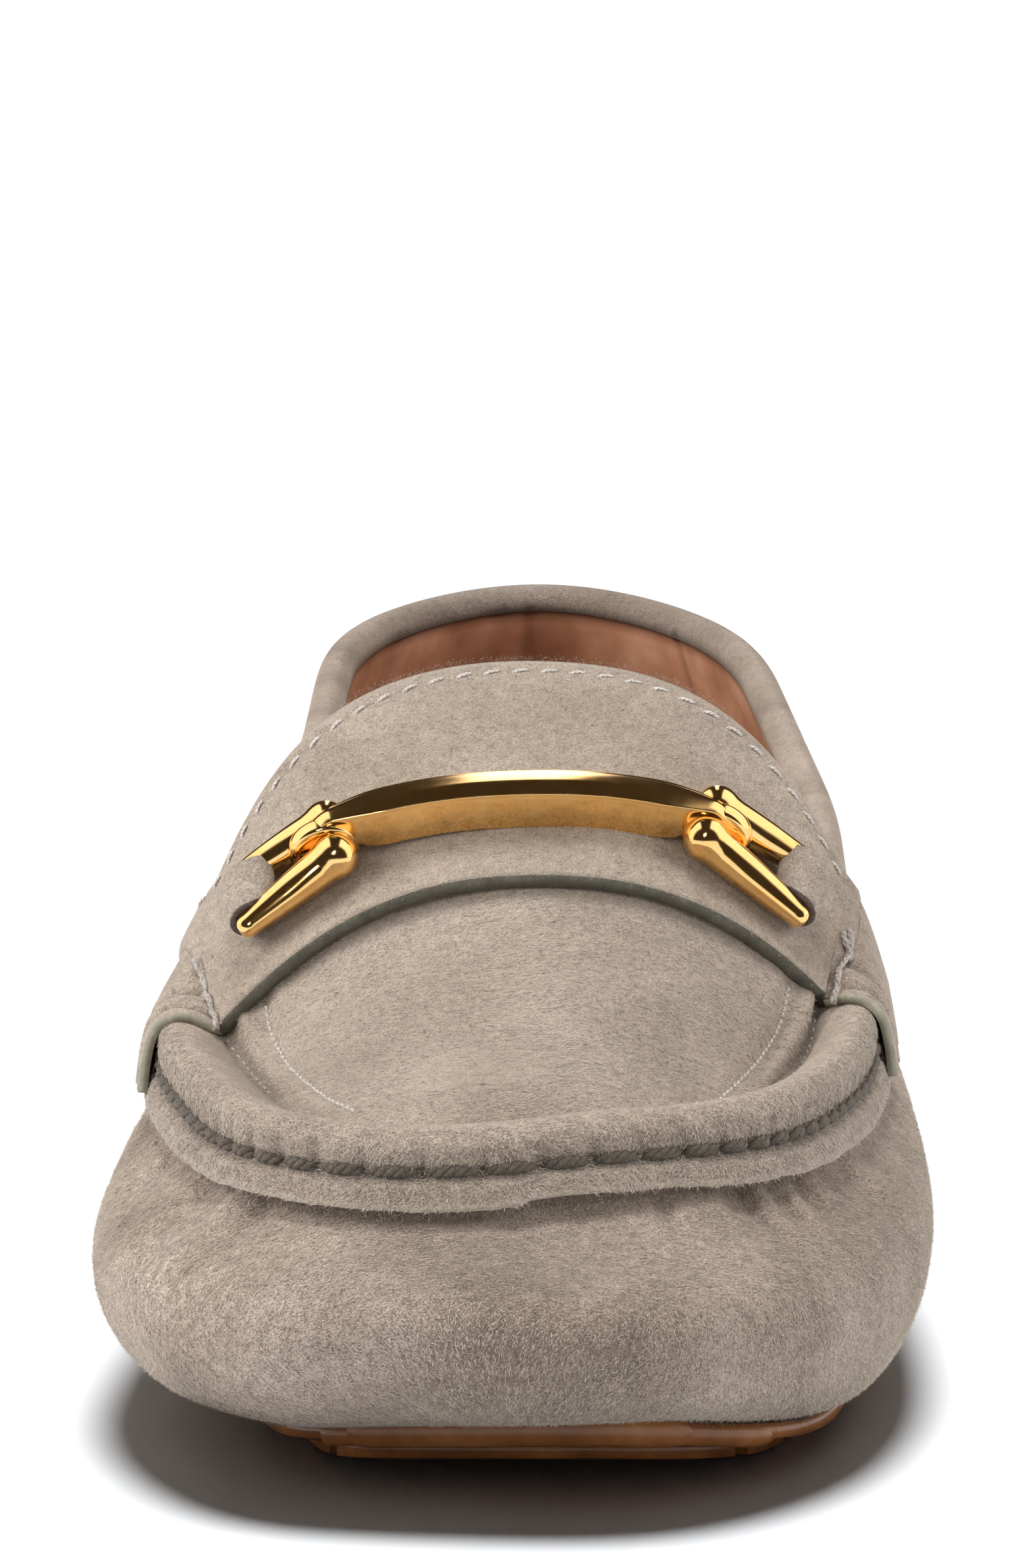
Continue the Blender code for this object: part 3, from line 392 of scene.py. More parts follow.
class Wall:
    """The upper's wall at any place u round the shoe: sole's edge, widest line and top edge."""

    def __init__(self):
        plan = np.column_stack(
            [
                column(WALL_ROWS, WALL_COLUMNS, "across") * half_width(),
                at_length(column(WALL_ROWS, WALL_COLUMNS, "along")),
            ]
        )
        chords = np.linalg.norm(np.roll(plan, -1, axis=0) - plan, axis=1)
        knots = np.concatenate([[0], np.cumsum(chords)[:-1]])
        self.period = float(chords.sum())
        values = np.column_stack(
            [
                plan,
                column(WALL_ROWS, WALL_COLUMNS, "under") * BALL_WIDTH,
                column(WALL_ROWS, WALL_COLUMNS, "top_across") * half_width(),
                at_length(column(WALL_ROWS, WALL_COLUMNS, "top_along")),
                column(WALL_ROWS, WALL_COLUMNS, "top") * HEEL_HEIGHT,
                np.radians(column(WALL_ROWS, WALL_COLUMNS, "lean")),
                column(WALL_ROWS, WALL_COLUMNS, "collar"),
            ]
        )
        self.curve = RoundCurve(knots, self.period, values)
        self.heel_u = float(knots[int(np.argmax(plan[:, 1]))])

    def outward(self, u):
        small = self.period * 1e-4
        along = unit(self.curve(u + small)[..., :2] - self.curve(u - small)[..., :2])
        return np.stack([along[..., 1], -along[..., 0]], -1)

    def collar(self, u):
        return smooth(self.curve(u)[..., 7])

    def thickness(self, u):
        return WALL + (COLLAR - WALL) * self.collar(u)

    def sole_edge(self, u, reach=0.0):
        row = self.curve(u)
        return row[..., :2] - self.outward(u) * (row[..., 2:3] - reach)

    def top(self, u):
        row = self.curve(u)
        height = row[..., 5] - self.thickness(u) / 2
        return np.concatenate([row[..., 3:5], height[..., None]], -1)

    def section(self, u, foot_steps=9, wall_steps=30, stand_steps=6):
        """Outer points at each u, from the turned-under margin up to the top edge."""
        u = np.atleast_1d(np.asarray(u, float))
        row, out, edge = self.curve(u), self.outward(u), self.sole_edge(u)
        shelf = PLATE + TREAD + FIT
        rows = []
        for back in (TURN_UNDER, TURN_UNDER / 2, TURN_UNDER / 6):
            plan = edge - out * back
            rows.append(np.column_stack([plan, shelf + ground_rise(plan[:, 1])]))
        foot = np.column_stack([edge, shelf + ground_rise(edge[:, 1])])
        widest = np.column_stack([row[:, :2], SHOULDER_HEIGHT + ground_rise(edge[:, 1]) / 2])
        for angle in np.linspace(0, math.pi / 2, foot_steps + 1)[:-1]:
            share = np.array([math.sin(angle), math.sin(angle), 1 - math.cos(angle)])
            rows.append(foot + (widest - foot) * share)
        top = self.top(u)
        away = unit(widest[:, :2] - top[:, :2])
        lean = row[:, 6]
        stand = np.maximum(math.radians(STAND_LEAN), lean)
        down = np.column_stack([away * np.cos(stand)[:, None], -np.sin(stand)])
        below = top + STAND * down
        climb = below[:, 2] - widest[:, 2]
        pull = 0.4 * np.linalg.norm(below - widest, axis=1)
        second = widest + 0.7 * climb[:, None] * np.array([0, 0, 1])
        slope = np.column_stack([away * np.cos(lean)[:, None], -np.sin(lean)])
        third = below + pull[:, None] * slope
        for t in np.linspace(0, 1, wall_steps + 1):
            s = 1 - t
            rows.append(s**3 * widest + 3 * t * s**2 * second + 3 * t**2 * s * third + t**3 * below)
        for t in np.linspace(0, 1, stand_steps + 1)[1:]:
            rows.append(below + (top - below) * t)
        return np.stack(rows, axis=1)

    def near_top(self, u, distances):
        """Outer points at distances down the wall from its top edge, and the normals there."""
        line = self.section(u, 4, 14, 2)[0][::-1]
        lengths = lengths_along(line)
        distances = np.atleast_1d(distances)
        lower = read_at(distances + MM, lengths, line)
        down = unit(lower - read_at(np.maximum(distances - MM, 0), lengths, line))
        small = self.period * 1e-4
        along = unit(self.top(u + small) - self.top(u - small))
        normal = unit(np.cross(along, down))
        normal[normal[:, 2] < 0] *= -1
        return read_at(distances, lengths, line), normal

    def seam_place(self, side, along):
        """The u where the wall's top edge passes a share of the length, on one side."""
        low, high = (0.0, self.heel_u) if side > 0 else (self.heel_u, self.period)
        u = np.linspace(low, high, 2000)
        y = self.curve(u)[:, 4]
        order = np.argsort(y)
        return float(np.interp(at_length(along), y[order], u[order]))


def polyline(shares):
    """Plan points of a line given in shares of half BALL_WIDTH and of LENGTH, drawn smooth."""
    shares = np.array(shares, float)
    points = np.column_stack([shares[:, 0] * half_width(), at_length(shares[:, 1])])
    knots = np.arange(len(points))
    fine = np.linspace(0, len(points) - 1, 60)
    return np.column_stack([open_curve(knots, points[:, k])(fine) for k in range(2)])


def line_distance(x, y, line):
    """Signed distance from a plan line, and how far along it the nearest place lies, 0 to 1."""
    gap = np.hypot(x[..., None] - line[:, 0], y[..., None] - line[:, 1])
    nearest = gap.argmin(-1)
    ahead = line[np.minimum(nearest + 1, len(line) - 1)] - line[np.maximum(nearest - 1, 0)]
    side = ahead[..., 0] * (y - line[nearest, 1]) - ahead[..., 1] * (x - line[nearest, 0])
    distance = np.take_along_axis(gap, nearest[..., None], -1)[..., 0]
    return distance * np.sign(side), nearest / (len(line) - 1)


def grid_normals(grid, wrap=False):
    """Unit normals of a grid of points, the first axis running round if wrap is set."""
    if wrap:
        first = np.roll(grid, -1, axis=0) - np.roll(grid, 1, axis=0)
    else:
        first = np.gradient(grid, axis=0)
    return unit(np.cross(first, np.gradient(grid, axis=1)))


class Apron:
    """The apron's outer face, as lines from its cut lip over the roll to the spine."""

    def __init__(self, wall):
        self.wall = wall
        spine_y = at_length(column(SPINE_ROWS, SPINE_COLUMNS, "along"))
        self.spine_rise = open_curve(spine_y, column(SPINE_ROWS, SPINE_COLUMNS, "rise") * INSTEP_HEIGHT)
        self.spine_across = open_curve(spine_y, column(SPINE_ROWS, SPINE_COLUMNS, "across") * half_width())
        seam = column(RIM_ROWS, RIM_COLUMNS, "seam")
        self.rim = {name: open_curve(seam, column(RIM_ROWS, RIM_COLUMNS, name)) for name in RIM_COLUMNS}
        self.corner = {-1: wall.seam_place(-1, STRAP_BACK[0]), 1: wall.seam_place(1, STRAP_BACK[1])}
        self.holes = self.stitch_holes()

    def signed(self, u):
        """Place on the seam, 0 at the toe's tip, positive on the lateral side."""
        return (u + self.wall.period / 2) % self.wall.period - self.wall.period / 2

    def stitch_holes(self):
        """Where the hand stitches pierce the seam: long at the toe's tip, short where it turns."""
        holes = {1: [HAND_PITCH / 2], -1: [-HAND_PITCH / 2]}
        ends = {1: self.wall.seam_place(1, STRAP_FRONT[1] + 0.03), -1: self.wall.seam_place(-1, 0.275)}
        for side, found in holes.items():
            end = abs(self.signed(ends[side]))
            while abs(found[-1]) < end:
                share = smooth(abs(found[-1]) / HAND_PITCH_FADE)
                pitch = HAND_PITCH + (HAND_PITCH_SIDE - HAND_PITCH) * share
                pitch *= 1 + 0.1 * wander(found[-1], 3 * MM, 5)
                found.append(found[-1] + side * pitch)
        return np.array(sorted(holes[-1] + holes[1]))

    def lip_length(self, u):
        """The lip is cut by hand, so its width wanders, with one nick near the toe's tip."""
        place = self.signed(u)
        nick = smooth((place - 10 * MM) / (1.6 * MM)) * (1 - smooth((place - 12 * MM) / (45 * MM)))
        wavy = 0.22 * MM * wander(place, 9 * MM, 3) + 0.12 * MM * wander(place, 2.1 * MM, 4)
        return LIP + wavy - 0.75 * MM * nick

    def line(self, side, u, along):
        """Outer points from the lip's cut edge to the spine at a share of the length."""
        wall = self.wall
        turn = u if side > 0 else wall.period - u
        whole = self.corner[1] if side > 0 else wall.period - self.corner[-1]
        share = turn / whole
        puckered = bell(np.abs(self.holes - self.signed(u)).min(), 1.3 * MM)
        depths = np.linspace(1, 0.12, LIP_STEPS)
        lip, normals = wall.near_top(u, depths * self.lip_length(u))
        pinch = smooth((0.5 - depths) / 0.38)
        flare = LIP_FLARE * depths**2
        stand = FIT + APRON * (1 - (1 - SEWN) * pinch) + flare
        stand = stand - 0.25 * MM * puckered * bell(depths - 0.3, 0.25)
        points = lip + normals * stand[:, None]
        start = points[-1]
        widest, top = wall.curve(u)[:2], wall.top(u)
        inward = np.array([*unit(top[:2] - widest), 0.0])
        fold = start + inward * self.rim["roll"](share) * BALL_WIDTH
        fold[2] = top[2] + self.rim["valley"](share) * HEEL_HEIGHT
        crest = self.rim["crest"](share) * HEEL_HEIGHT
        t = (np.arange(1, ROLL_STEPS + 1) / ROLL_STEPS) ** 1.5
        hump = t**0.6 * (1 - t) ** 1.2 / 0.318
        bulge = ROLL_BULGE * np.sin(math.pi * t**0.5) * (1 - smooth((share - 0.75) / 0.25))
        bulge = bulge - 0.55 * MM * puckered * bell(t - 0.04, 0.10)
        roll = start + (fold - start) * t[:, None] - inward * bulge[:, None]
        roll[:, 2] += crest * hump
        y_spine = at_length(along)
        drop = fold[2] - self.spine_rise(fold[1])
        square = 1 + float(smooth((along - TOE_FOCUS) / (STRAP_FRONT[2] - TOE_FOCUS)))
        left = 1 - (np.arange(1, PANEL_STEPS + 1) / PANEL_STEPS) ** 1.4
        x_spine = self.spine_across(y_spine)
        x = x_spine + (fold[0] - x_spine) * left
        y = y_spine + (fold[1] - y_spine) * left**square
        fuller = 1 + 0.3 * (side < 0) * float(smooth((share - 0.62) / 0.3))
        z = self.spine_rise(y) + drop * left ** (float(self.rim["arch"](share)) * fuller)
        return np.vstack([points, roll, np.column_stack([x, y, z])])

    def sewn_inner(self, u):
        """Inner points under the lip and the groove, clear of the wall."""
        depths = np.linspace(1, 0.12, LIP_STEPS)
        points, normals = self.wall.near_top(u, depths * self.lip_length(u))
        return points + normals * (FIT + LIP_FLARE * depths**2)[:, None]


def strap_share(t):
    """A line of the strap, from its front edge, t = 0, to the throat, t = 1."""
    return [a + (b - a) * t for a, b in zip(STRAP_FRONT, STRAP_BACK)]


def apron_places(wall):
    """Each apron line as side, u and spine share, from the medial throat round the toe."""
    medial, lateral = [], []
    for t in np.linspace(0, 1, STRAP_LINES // 2):
        seam_medial, seam_lateral, spine = strap_share(t)
        medial.append((-1, wall.seam_place(-1, seam_medial), spine))
        lateral.append((1, wall.seam_place(1, seam_lateral), spine))
    first, last = medial[0][1] - wall.period, lateral[0][1]
    toe = []
    for gone in np.linspace(-1, 1, 2 * TOE_LINES + 1)[1:-1]:
        back = float(smooth((abs(gone) - 0.25) / 0.75)) ** 1.2
        spine = TOE_FOCUS + (STRAP_FRONT[2] - TOE_FOCUS) * back
        toe.append((-1, wall.period - first * gone, spine) if gone < 0 else (1, last * gone, spine))
    return medial[::-1] + toe + lateral


def sheet(outer, inner):
    """Points and faces of a closed sheet between two grids, and how many faces are on its rim."""
    rows, columns = outer.shape[:2]
    offset = rows * columns
    faces = []
    for near in range(0, offset - columns, columns):
        far = near + columns
        faces += [(near + j, near + j + 1, far + j + 1, far + j) for j in range(columns - 1)]
    faces += [tuple(offset + k for k in reversed(face)) for face in faces]
    border = list(range(columns))
    border += [i * columns + columns - 1 for i in range(1, rows)]
    border += [(rows - 1) * columns + j for j in range(columns - 2, -1, -1)]
    border += [i * columns for i in range(rows - 2, 0, -1)]
    rim = [(b, a, offset + a, offset + b) for a, b in zip(border, border[1:] + border[:1])]
    return np.vstack([outer.reshape(-1, 3), inner.reshape(-1, 3)]), faces + rim, len(rim)


def loop_faces(loops, closed=False):
    """Quads between neighbouring loops of points, and from the last to the first if closed."""
    rounds, around = loops.shape[:2]
    faces = []
    for i in range(rounds if closed else rounds - 1):
        near, far = i * around, (i + 1) % rounds * around
        for j, after in enumerate([*range(1, around), 0]):
            faces.append((near + j, near + after, far + after, far + j))
    return faces


def capped(loops):
    """Points and faces of a solid through loops of points, with a flat face at each end."""
    around = loops.shape[1]
    last = (len(loops) - 1) * around
    ends = [tuple(reversed(range(around))), tuple(range(last, last + around))]
    return loops.reshape(-1, 3), loop_faces(loops) + ends


def beside(path, up):
    """Directions across a path, level and upward, at each of its points."""
    along = unit(np.gradient(path, axis=0))
    side = unit(np.cross(along, up))
    return side, np.cross(side, along)


def tube(path, radius, sides, up):
    """A round capped tube along a path."""
    path = np.asarray(path, float)
    side, lift = beside(path, up)
    angle = np.arange(sides) / sides * 2 * math.pi
    ring = side[:, None] * (radius * np.cos(angle))[:, None]
    return capped(path[:, None] + ring + lift[:, None] * (radius * np.sin(angle))[:, None])


class Bundle:
    """Many small meshes gathered into one piece."""

    def __init__(self):
        self.points, self.faces, self.count = [], [], 0

    def add(self, mesh):
        points, faces = mesh
        self.points.append(np.asarray(points))
        self.faces += [tuple(self.count + k for k in face) for face in faces]
        self.count += len(points)

    def mesh(self):
        return np.vstack(self.points), self.faces


def plied(bundle, path, half, up, turns, flat, plies=3):
    """One stitch of twisted thread along a path, half its width to each side."""
    path = np.asarray(path, float)
    side, lift = beside(path, up)
    gone = np.linspace(0, 1, len(path))
    for ply in range(plies):
        angle = 2 * math.pi * (gone * turns + ply / plies)
        offset = side * np.cos(angle)[:, None] + lift * (flat * np.sin(angle))[:, None]
        bundle.add(tube(path + offset * half * 0.5, half * 0.56, 8, up))


def piece(name, mesh, materials, replaces=(), marks=None, finish=None, recalc=True):
    """A mesh in the row frame that rides on the shoe. marks: nap, shade and pale per point."""
    points, faces = mesh
    data = bpy.data.meshes.new(name)
    points = np.asarray(points) + CENTRE
    data.from_pydata(points.tolist(), [], [tuple(map(int, face)) for face in faces])
    for material in materials:
        data.materials.append(material)
    if finish is not None:
        data.polygons.foreach_set("material_index", np.asarray(finish, np.int32))
    layer = data.attributes.new("marks", "FLOAT_COLOR", "POINT")
    values = np.zeros((len(points), 4))
    values[:, 3] = 1
    if marks is not None:
        values[:, :3] = marks
    layer.data.foreach_set("color", values.ravel())
    if recalc:
        made = bmesh.new()
        made.from_mesh(data)
        bmesh.ops.recalc_face_normals(made, faces=made.faces[:])
        made.to_mesh(data)
        made.free()
    data.shade_smooth()
    obj = bpy.data.objects.new(name, data)
    bpy.context.scene.collection.objects.link(obj)
    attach(obj, "root")
    if replaces:
        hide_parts(*replaces)
    return obj


# Finishes


def srgb(code):
    """A hex colour turned to linear."""
    parts = [int(code[i : i + 2], 16) / 255 for i in (1, 3, 5)]
    return (*[c / 12.92 if c <= 0.04045 else ((c + 0.055) / 1.055) ** 2.4 for c in parts], 1.0)


def node(tree, kind, inputs=None, stops=(), **settings):
    """Adds a node, sets its properties and sockets, and fills or links what inputs names.

    inputs: a value or another node's output for each socket, by its name or number.
    stops: the places and colours of a colour ramp.
    """
    made = tree.nodes.new(kind)
    for name, value in settings.items():
        if hasattr(made, name):
            setattr(made, name, value)
        else:
            made.inputs[name.replace("_", " ")].default_value = value
    for socket, value in (inputs or {}).items():
        if isinstance(value, bpy.types.NodeSocket):
            tree.links.new(value, made.inputs[socket])
        else:
            made.inputs[socket].default_value = value
    for k, (place, colour) in enumerate(stops):
        elements = made.color_ramp.elements
        element = elements[k] if k < len(elements) else elements.new(1.0)
        element.position = place
        element.color = srgb(colour) if isinstance(colour, str) else colour
    return made


def new_material(name, roughness, **shader):
    """An empty material with its shader's constants set, its tree and its shader."""
    material = bpy.data.materials.new(name)
    material.use_nodes = True
    tree = material.node_tree
    principled = tree.nodes["Principled BSDF"]
    principled.inputs["Roughness"].default_value = roughness
    for socket, value in shader.items():
        principled.inputs[socket.replace("_", " ")].default_value = value
    return material, tree, principled


def painted_marks(tree):
    """The marks of the mesh: nap in Red, shade in Green and pale in Blue."""
    marks = node(tree, "ShaderNodeAttribute", attribute_name="marks").outputs["Color"]
    return node(tree, "ShaderNodeSeparateColor", {"Color": marks}).outputs


def suede(name, light, middle, dark):
    """Split-hide suede, buffed: no shine, short fibres that lie in patches of light and dark."""
    material, tree, shader = new_material(
        name, 0.92, Sheen_Weight=0.35, Sheen_Roughness=0.5, Specular_IOR_Level=0.2,
        Sheen_Tint=srgb("#e8ded2"),
    )
    place = node(tree, "ShaderNodeTexCoord").outputs["Object"]
    marks = painted_marks(tree)
    rough_share = node(
        tree, "ShaderNodeMath", {0: marks["Red"], 1: 0.42, 2: 0.36}, operation="MULTIPLY_ADD"
    ).outputs[0]
    # Patches where the nap was last stroked one way or the other, 16 mm
    patches = node(
        tree, "ShaderNodeTexNoise", {"Vector": place}, Scale=1 / (16 * MM), Detail=2.0, Roughness=0.5,
        Distortion=0.2,
    ).outputs["Fac"]
    stops = ((0.3, dark), (0.5, middle), (0.72, light))
    colour = node(tree, "ShaderNodeValToRGB", {"Fac": patches}, stops).outputs["Color"]
    # Size, detail, roughness and share of each kind of spot, and the tones that it gives
    spots = (
        # Tufts of fibre
        (1.6 * MM, 3.0, 0.65, rough_share, ((0.34, (0.7, 0.69, 0.68, 1)), (0.66, (1.22, 1.22, 1.22, 1)))),
        # The fibres' tips, really under 0.1 mm and drawn at 0.28 mm so that they show
        (
            0.28 * MM, 2.0, 0.7, rough_share,
            ((0.36, (0.42, 0.4, 0.38, 1)), (0.5, (1, 1, 1, 1)), (0.64, (1.5, 1.5, 1.5, 1))),
        ),
        # Gaps between tufts, where the fibres' roots lie in shadow
        (0.9 * MM, 4.0, 0.7, 0.75, ((0.34, (0.6, 0.57, 0.54, 1)), (0.43, (1, 1, 1, 1)))),
    )
    heights = []
    for size, detail, rough, share, tones in spots:
        spot = node(
            tree, "ShaderNodeTexNoise", {"Vector": place}, Scale=1 / size, Detail=detail, Roughness=rough
        ).outputs["Fac"]
        tone = node(tree, "ShaderNodeValToRGB", {"Fac": spot}, tones).outputs["Color"]
        colour = node(
            tree, "ShaderNodeMix", {0: share, 6: colour, 7: tone}, data_type="RGBA", blend_type="MULTIPLY"
        ).outputs[2]
        heights.append(spot)
    # Green mixes in painted shade: for grooves, creases, stitch holes and the strip under the lip, and
    # partly for nap stroked the dark way. Blue mixes in the paler tone of cut edges.
    for mark, painted_shade_and_pale_edge in (("Green", "#4a423b"), ("Blue", "#c9bcae")):
        colour = node(
            tree, "ShaderNodeMix", {0: marks[mark], 6: colour, 7: srgb(painted_shade_and_pale_edge)}, data_type="RGBA"
        ).outputs[2]
    tufts, tips, _ = heights
    bump = node(tree, "ShaderNodeBump", {"Height": tips}, Strength=0.8, Distance=0.3 * MM).outputs[0]
    bump = node(
        tree, "ShaderNodeBump", {"Height": tufts, "Normal": bump}, Strength=0.65, Distance=0.5 * MM
    ).outputs[0]
    tree.links.new(colour, shader.inputs["Base Color"])
    tree.links.new(bump, shader.inputs["Normal"])
    return material


def clouded(name, roughness, cloud, stops, grit, relief, **constants):
    """A material whose tone drifts from spot to spot, with a fine relief over it.

    cloud and grit: the spots' size in metres, their detail and how rough their edges are.
    relief: the strength of the bump and its depth in metres.
    """
    material, tree, shader = new_material(name, roughness, **constants)
    place = node(tree, "ShaderNodeTexCoord").outputs["Object"]
    tone, height = [
        node(tree, "ShaderNodeTexNoise", {"Vector": place}, Scale=1 / size, Detail=detail, Roughness=rough)
        for size, detail, rough in (cloud, grit)
    ]
    colour = node(tree, "ShaderNodeValToRGB", {"Fac": tone.outputs["Fac"]}, stops).outputs["Color"]
    bump = node(
        tree, "ShaderNodeBump", {"Height": height.outputs["Fac"]}, Strength=relief[0], Distance=relief[1]
    )
    tree.links.new(colour, shader.inputs["Base Color"])
    tree.links.new(bump.outputs[0], shader.inputs["Normal"])
    return material, tree, shader, colour


def lining_leather():
    """Full-grain kid lining, glazed: a soft shine over fine pores, with painted shade in its creases and
    just below its seam.
    """
    stops = ((0.32, "#96694f"), (0.55, "#b08064"), (0.72, "#c4967c"))
    material, tree, shader, colour = clouded(
        "lining_kid_glazed", 0.45, (11 * MM, 3.0, 0.55), stops, (0.5 * MM, 3.0, 0.6), (0.3, 0.1 * MM),
        Specular_IOR_Level=0.4,
    )
    # Painted shade from the Green mark, in the creases and under the seam.
    creased = node(
        tree, "ShaderNodeMix", {0: painted_marks(tree)["Green"], 6: colour, 7: srgb("#3c241b")},
        data_type="RGBA",
    )
    tree.links.new(creased.outputs[2], shader.inputs["Base Color"])
    return material


def edge_paint(name, dark, middle, light):
    """Cut leather edge, inked and burnished: a grey-green band with a low, uneven shine."""
    return clouded(
        name, 0.55, (2.5 * MM, 4.0, 0.65), ((0.3, dark), (0.55, middle), (0.75, light)),
        (0.4 * MM, 2.0, 0.55), (0.35, 0.12 * MM), Specular_IOR_Level=0.35,
    )[0]


def raw_edge():
    """Layered suede cut across and darkened by handling: matt, with fine bands of fibre."""
    fibres = (0.35 * MM, 3.0, 0.7)
    return clouded(
        "suede_edge_raw", 0.85, fibres, ((0.3, "#463d37"), (0.7, "#7b7067")), fibres, (0.6, 0.2 * MM),
        Specular_IOR_Level=0.2,
    )[0]


def thread_material(name, dark, light, roughness, sheen):
    """Spun thread: strands catch the light along each ply."""
    fibres = (0.3 * MM, 3.0, 0.7)
    return clouded(
        name, roughness, fibres, ((0.3, dark), (0.7, light)), fibres, (0.5, 0.1 * MM),
        Sheen_Weight=sheen, Specular_IOR_Level=0.5,
    )[0]


def gum_rubber():
    """Natural crepe rubber, moulded: amber-brown, a waxy half shine and a faint cloudiness."""
    return clouded(
        "gum_rubber_moulded", 0.3, (9 * MM, 4.0, 0.6),
        ((0.3, "#6b4020"), (0.55, "#82512a"), (0.75, "#9a6639")), (0.7 * MM, 2.0, 0.55), (0.2, 0.1 * MM),
        Specular_IOR_Level=0.45,
    )[0]


def gold_plate():
    """Die-cast zinc, polished and gold plated: a mirror with faint wiping marks in its shine."""
    material, tree, shader = new_material("gold_plate_polished", 0.1, Metallic=1.0)
    place = node(tree, "ShaderNodeTexCoord").outputs["Object"]
    wiped = node(
        tree, "ShaderNodeTexNoise", {"Vector": place}, Scale=1 / (3 * MM), Detail=4.0, Roughness=0.6,
        Distortion=0.5,
    ).outputs["Fac"]
    colour = node(tree, "ShaderNodeValToRGB", {"Fac": wiped}, ((0.3, "#fbc87c"), (0.7, "#ffd692")))
    rough = node(tree, "ShaderNodeMapRange", {"Value": wiped}, To_Min=0.07, To_Max=0.16)
    tree.links.new(colour.outputs["Color"], shader.inputs["Base Color"])
    tree.links.new(rough.outputs["Result"], shader.inputs["Roughness"])
    return material


def studio_floor():
    """A matt white sweep of painted board."""
    material, tree, shader = new_material("floor_board_painted", 0.9, Specular_IOR_Level=0.1)
    place = node(tree, "ShaderNodeTexCoord").outputs["Object"]
    cloud = node(
        tree, "ShaderNodeTexNoise", {"Vector": place}, Scale=1 / 0.3, Detail=2.0, Roughness=0.55
    ).outputs["Fac"]
    tone = node(tree, "ShaderNodeValToRGB", {"Fac": cloud}, ((0.3, "#f0f3f6"), (0.7, "#f2f5f8")))
    tree.links.new(tone.outputs["Color"], shader.inputs["Base Color"])
    return material


# Pieces


def wall_relief(wall, apron, u, outer):
    """How far the wall's leather stands in or out: gathers under the lip and soft hollows."""
    place = apron.signed(u)[:, None]
    down = lengths_along(outer[:, ::-1], axis=1)[:, ::-1]
    below = np.clip((down - LIP) / MM, 0, None)
    side = smooth((abs(place) - 24 * MM) / (14 * MM))
    side = side * (1 - smooth((abs(place) - 72 * MM) / (22 * MM)))
    reach = 9 + 7 * wander(place, 11 * MM, 21)
    fade = np.exp(-((below / reach) ** 2)) * smooth((down - 0.7 * LIP) / (0.5 * LIP))
    pleats = wander(place + 1.2 * MM * wander(below * MM, 9 * MM, 8), 3.1 * MM, 17)
    relief = GATHER_DEPTH * side * fade * pleats
    relief = relief + 0.2 * MM * (1 - side) * fade * wander(place, 5 * MM, 18)
    front = 1 - smooth((abs(place) - 120 * MM) / (60 * MM))
    hollows = wander(place, 24 * MM, 31) * wander(down + 0.3 * place, 13 * MM, 32)
    soft = 0.55 * MM * hollows * (0.35 + 0.65 * front) * smooth(below / 6)
    return relief + soft, down, pleats * side * fade


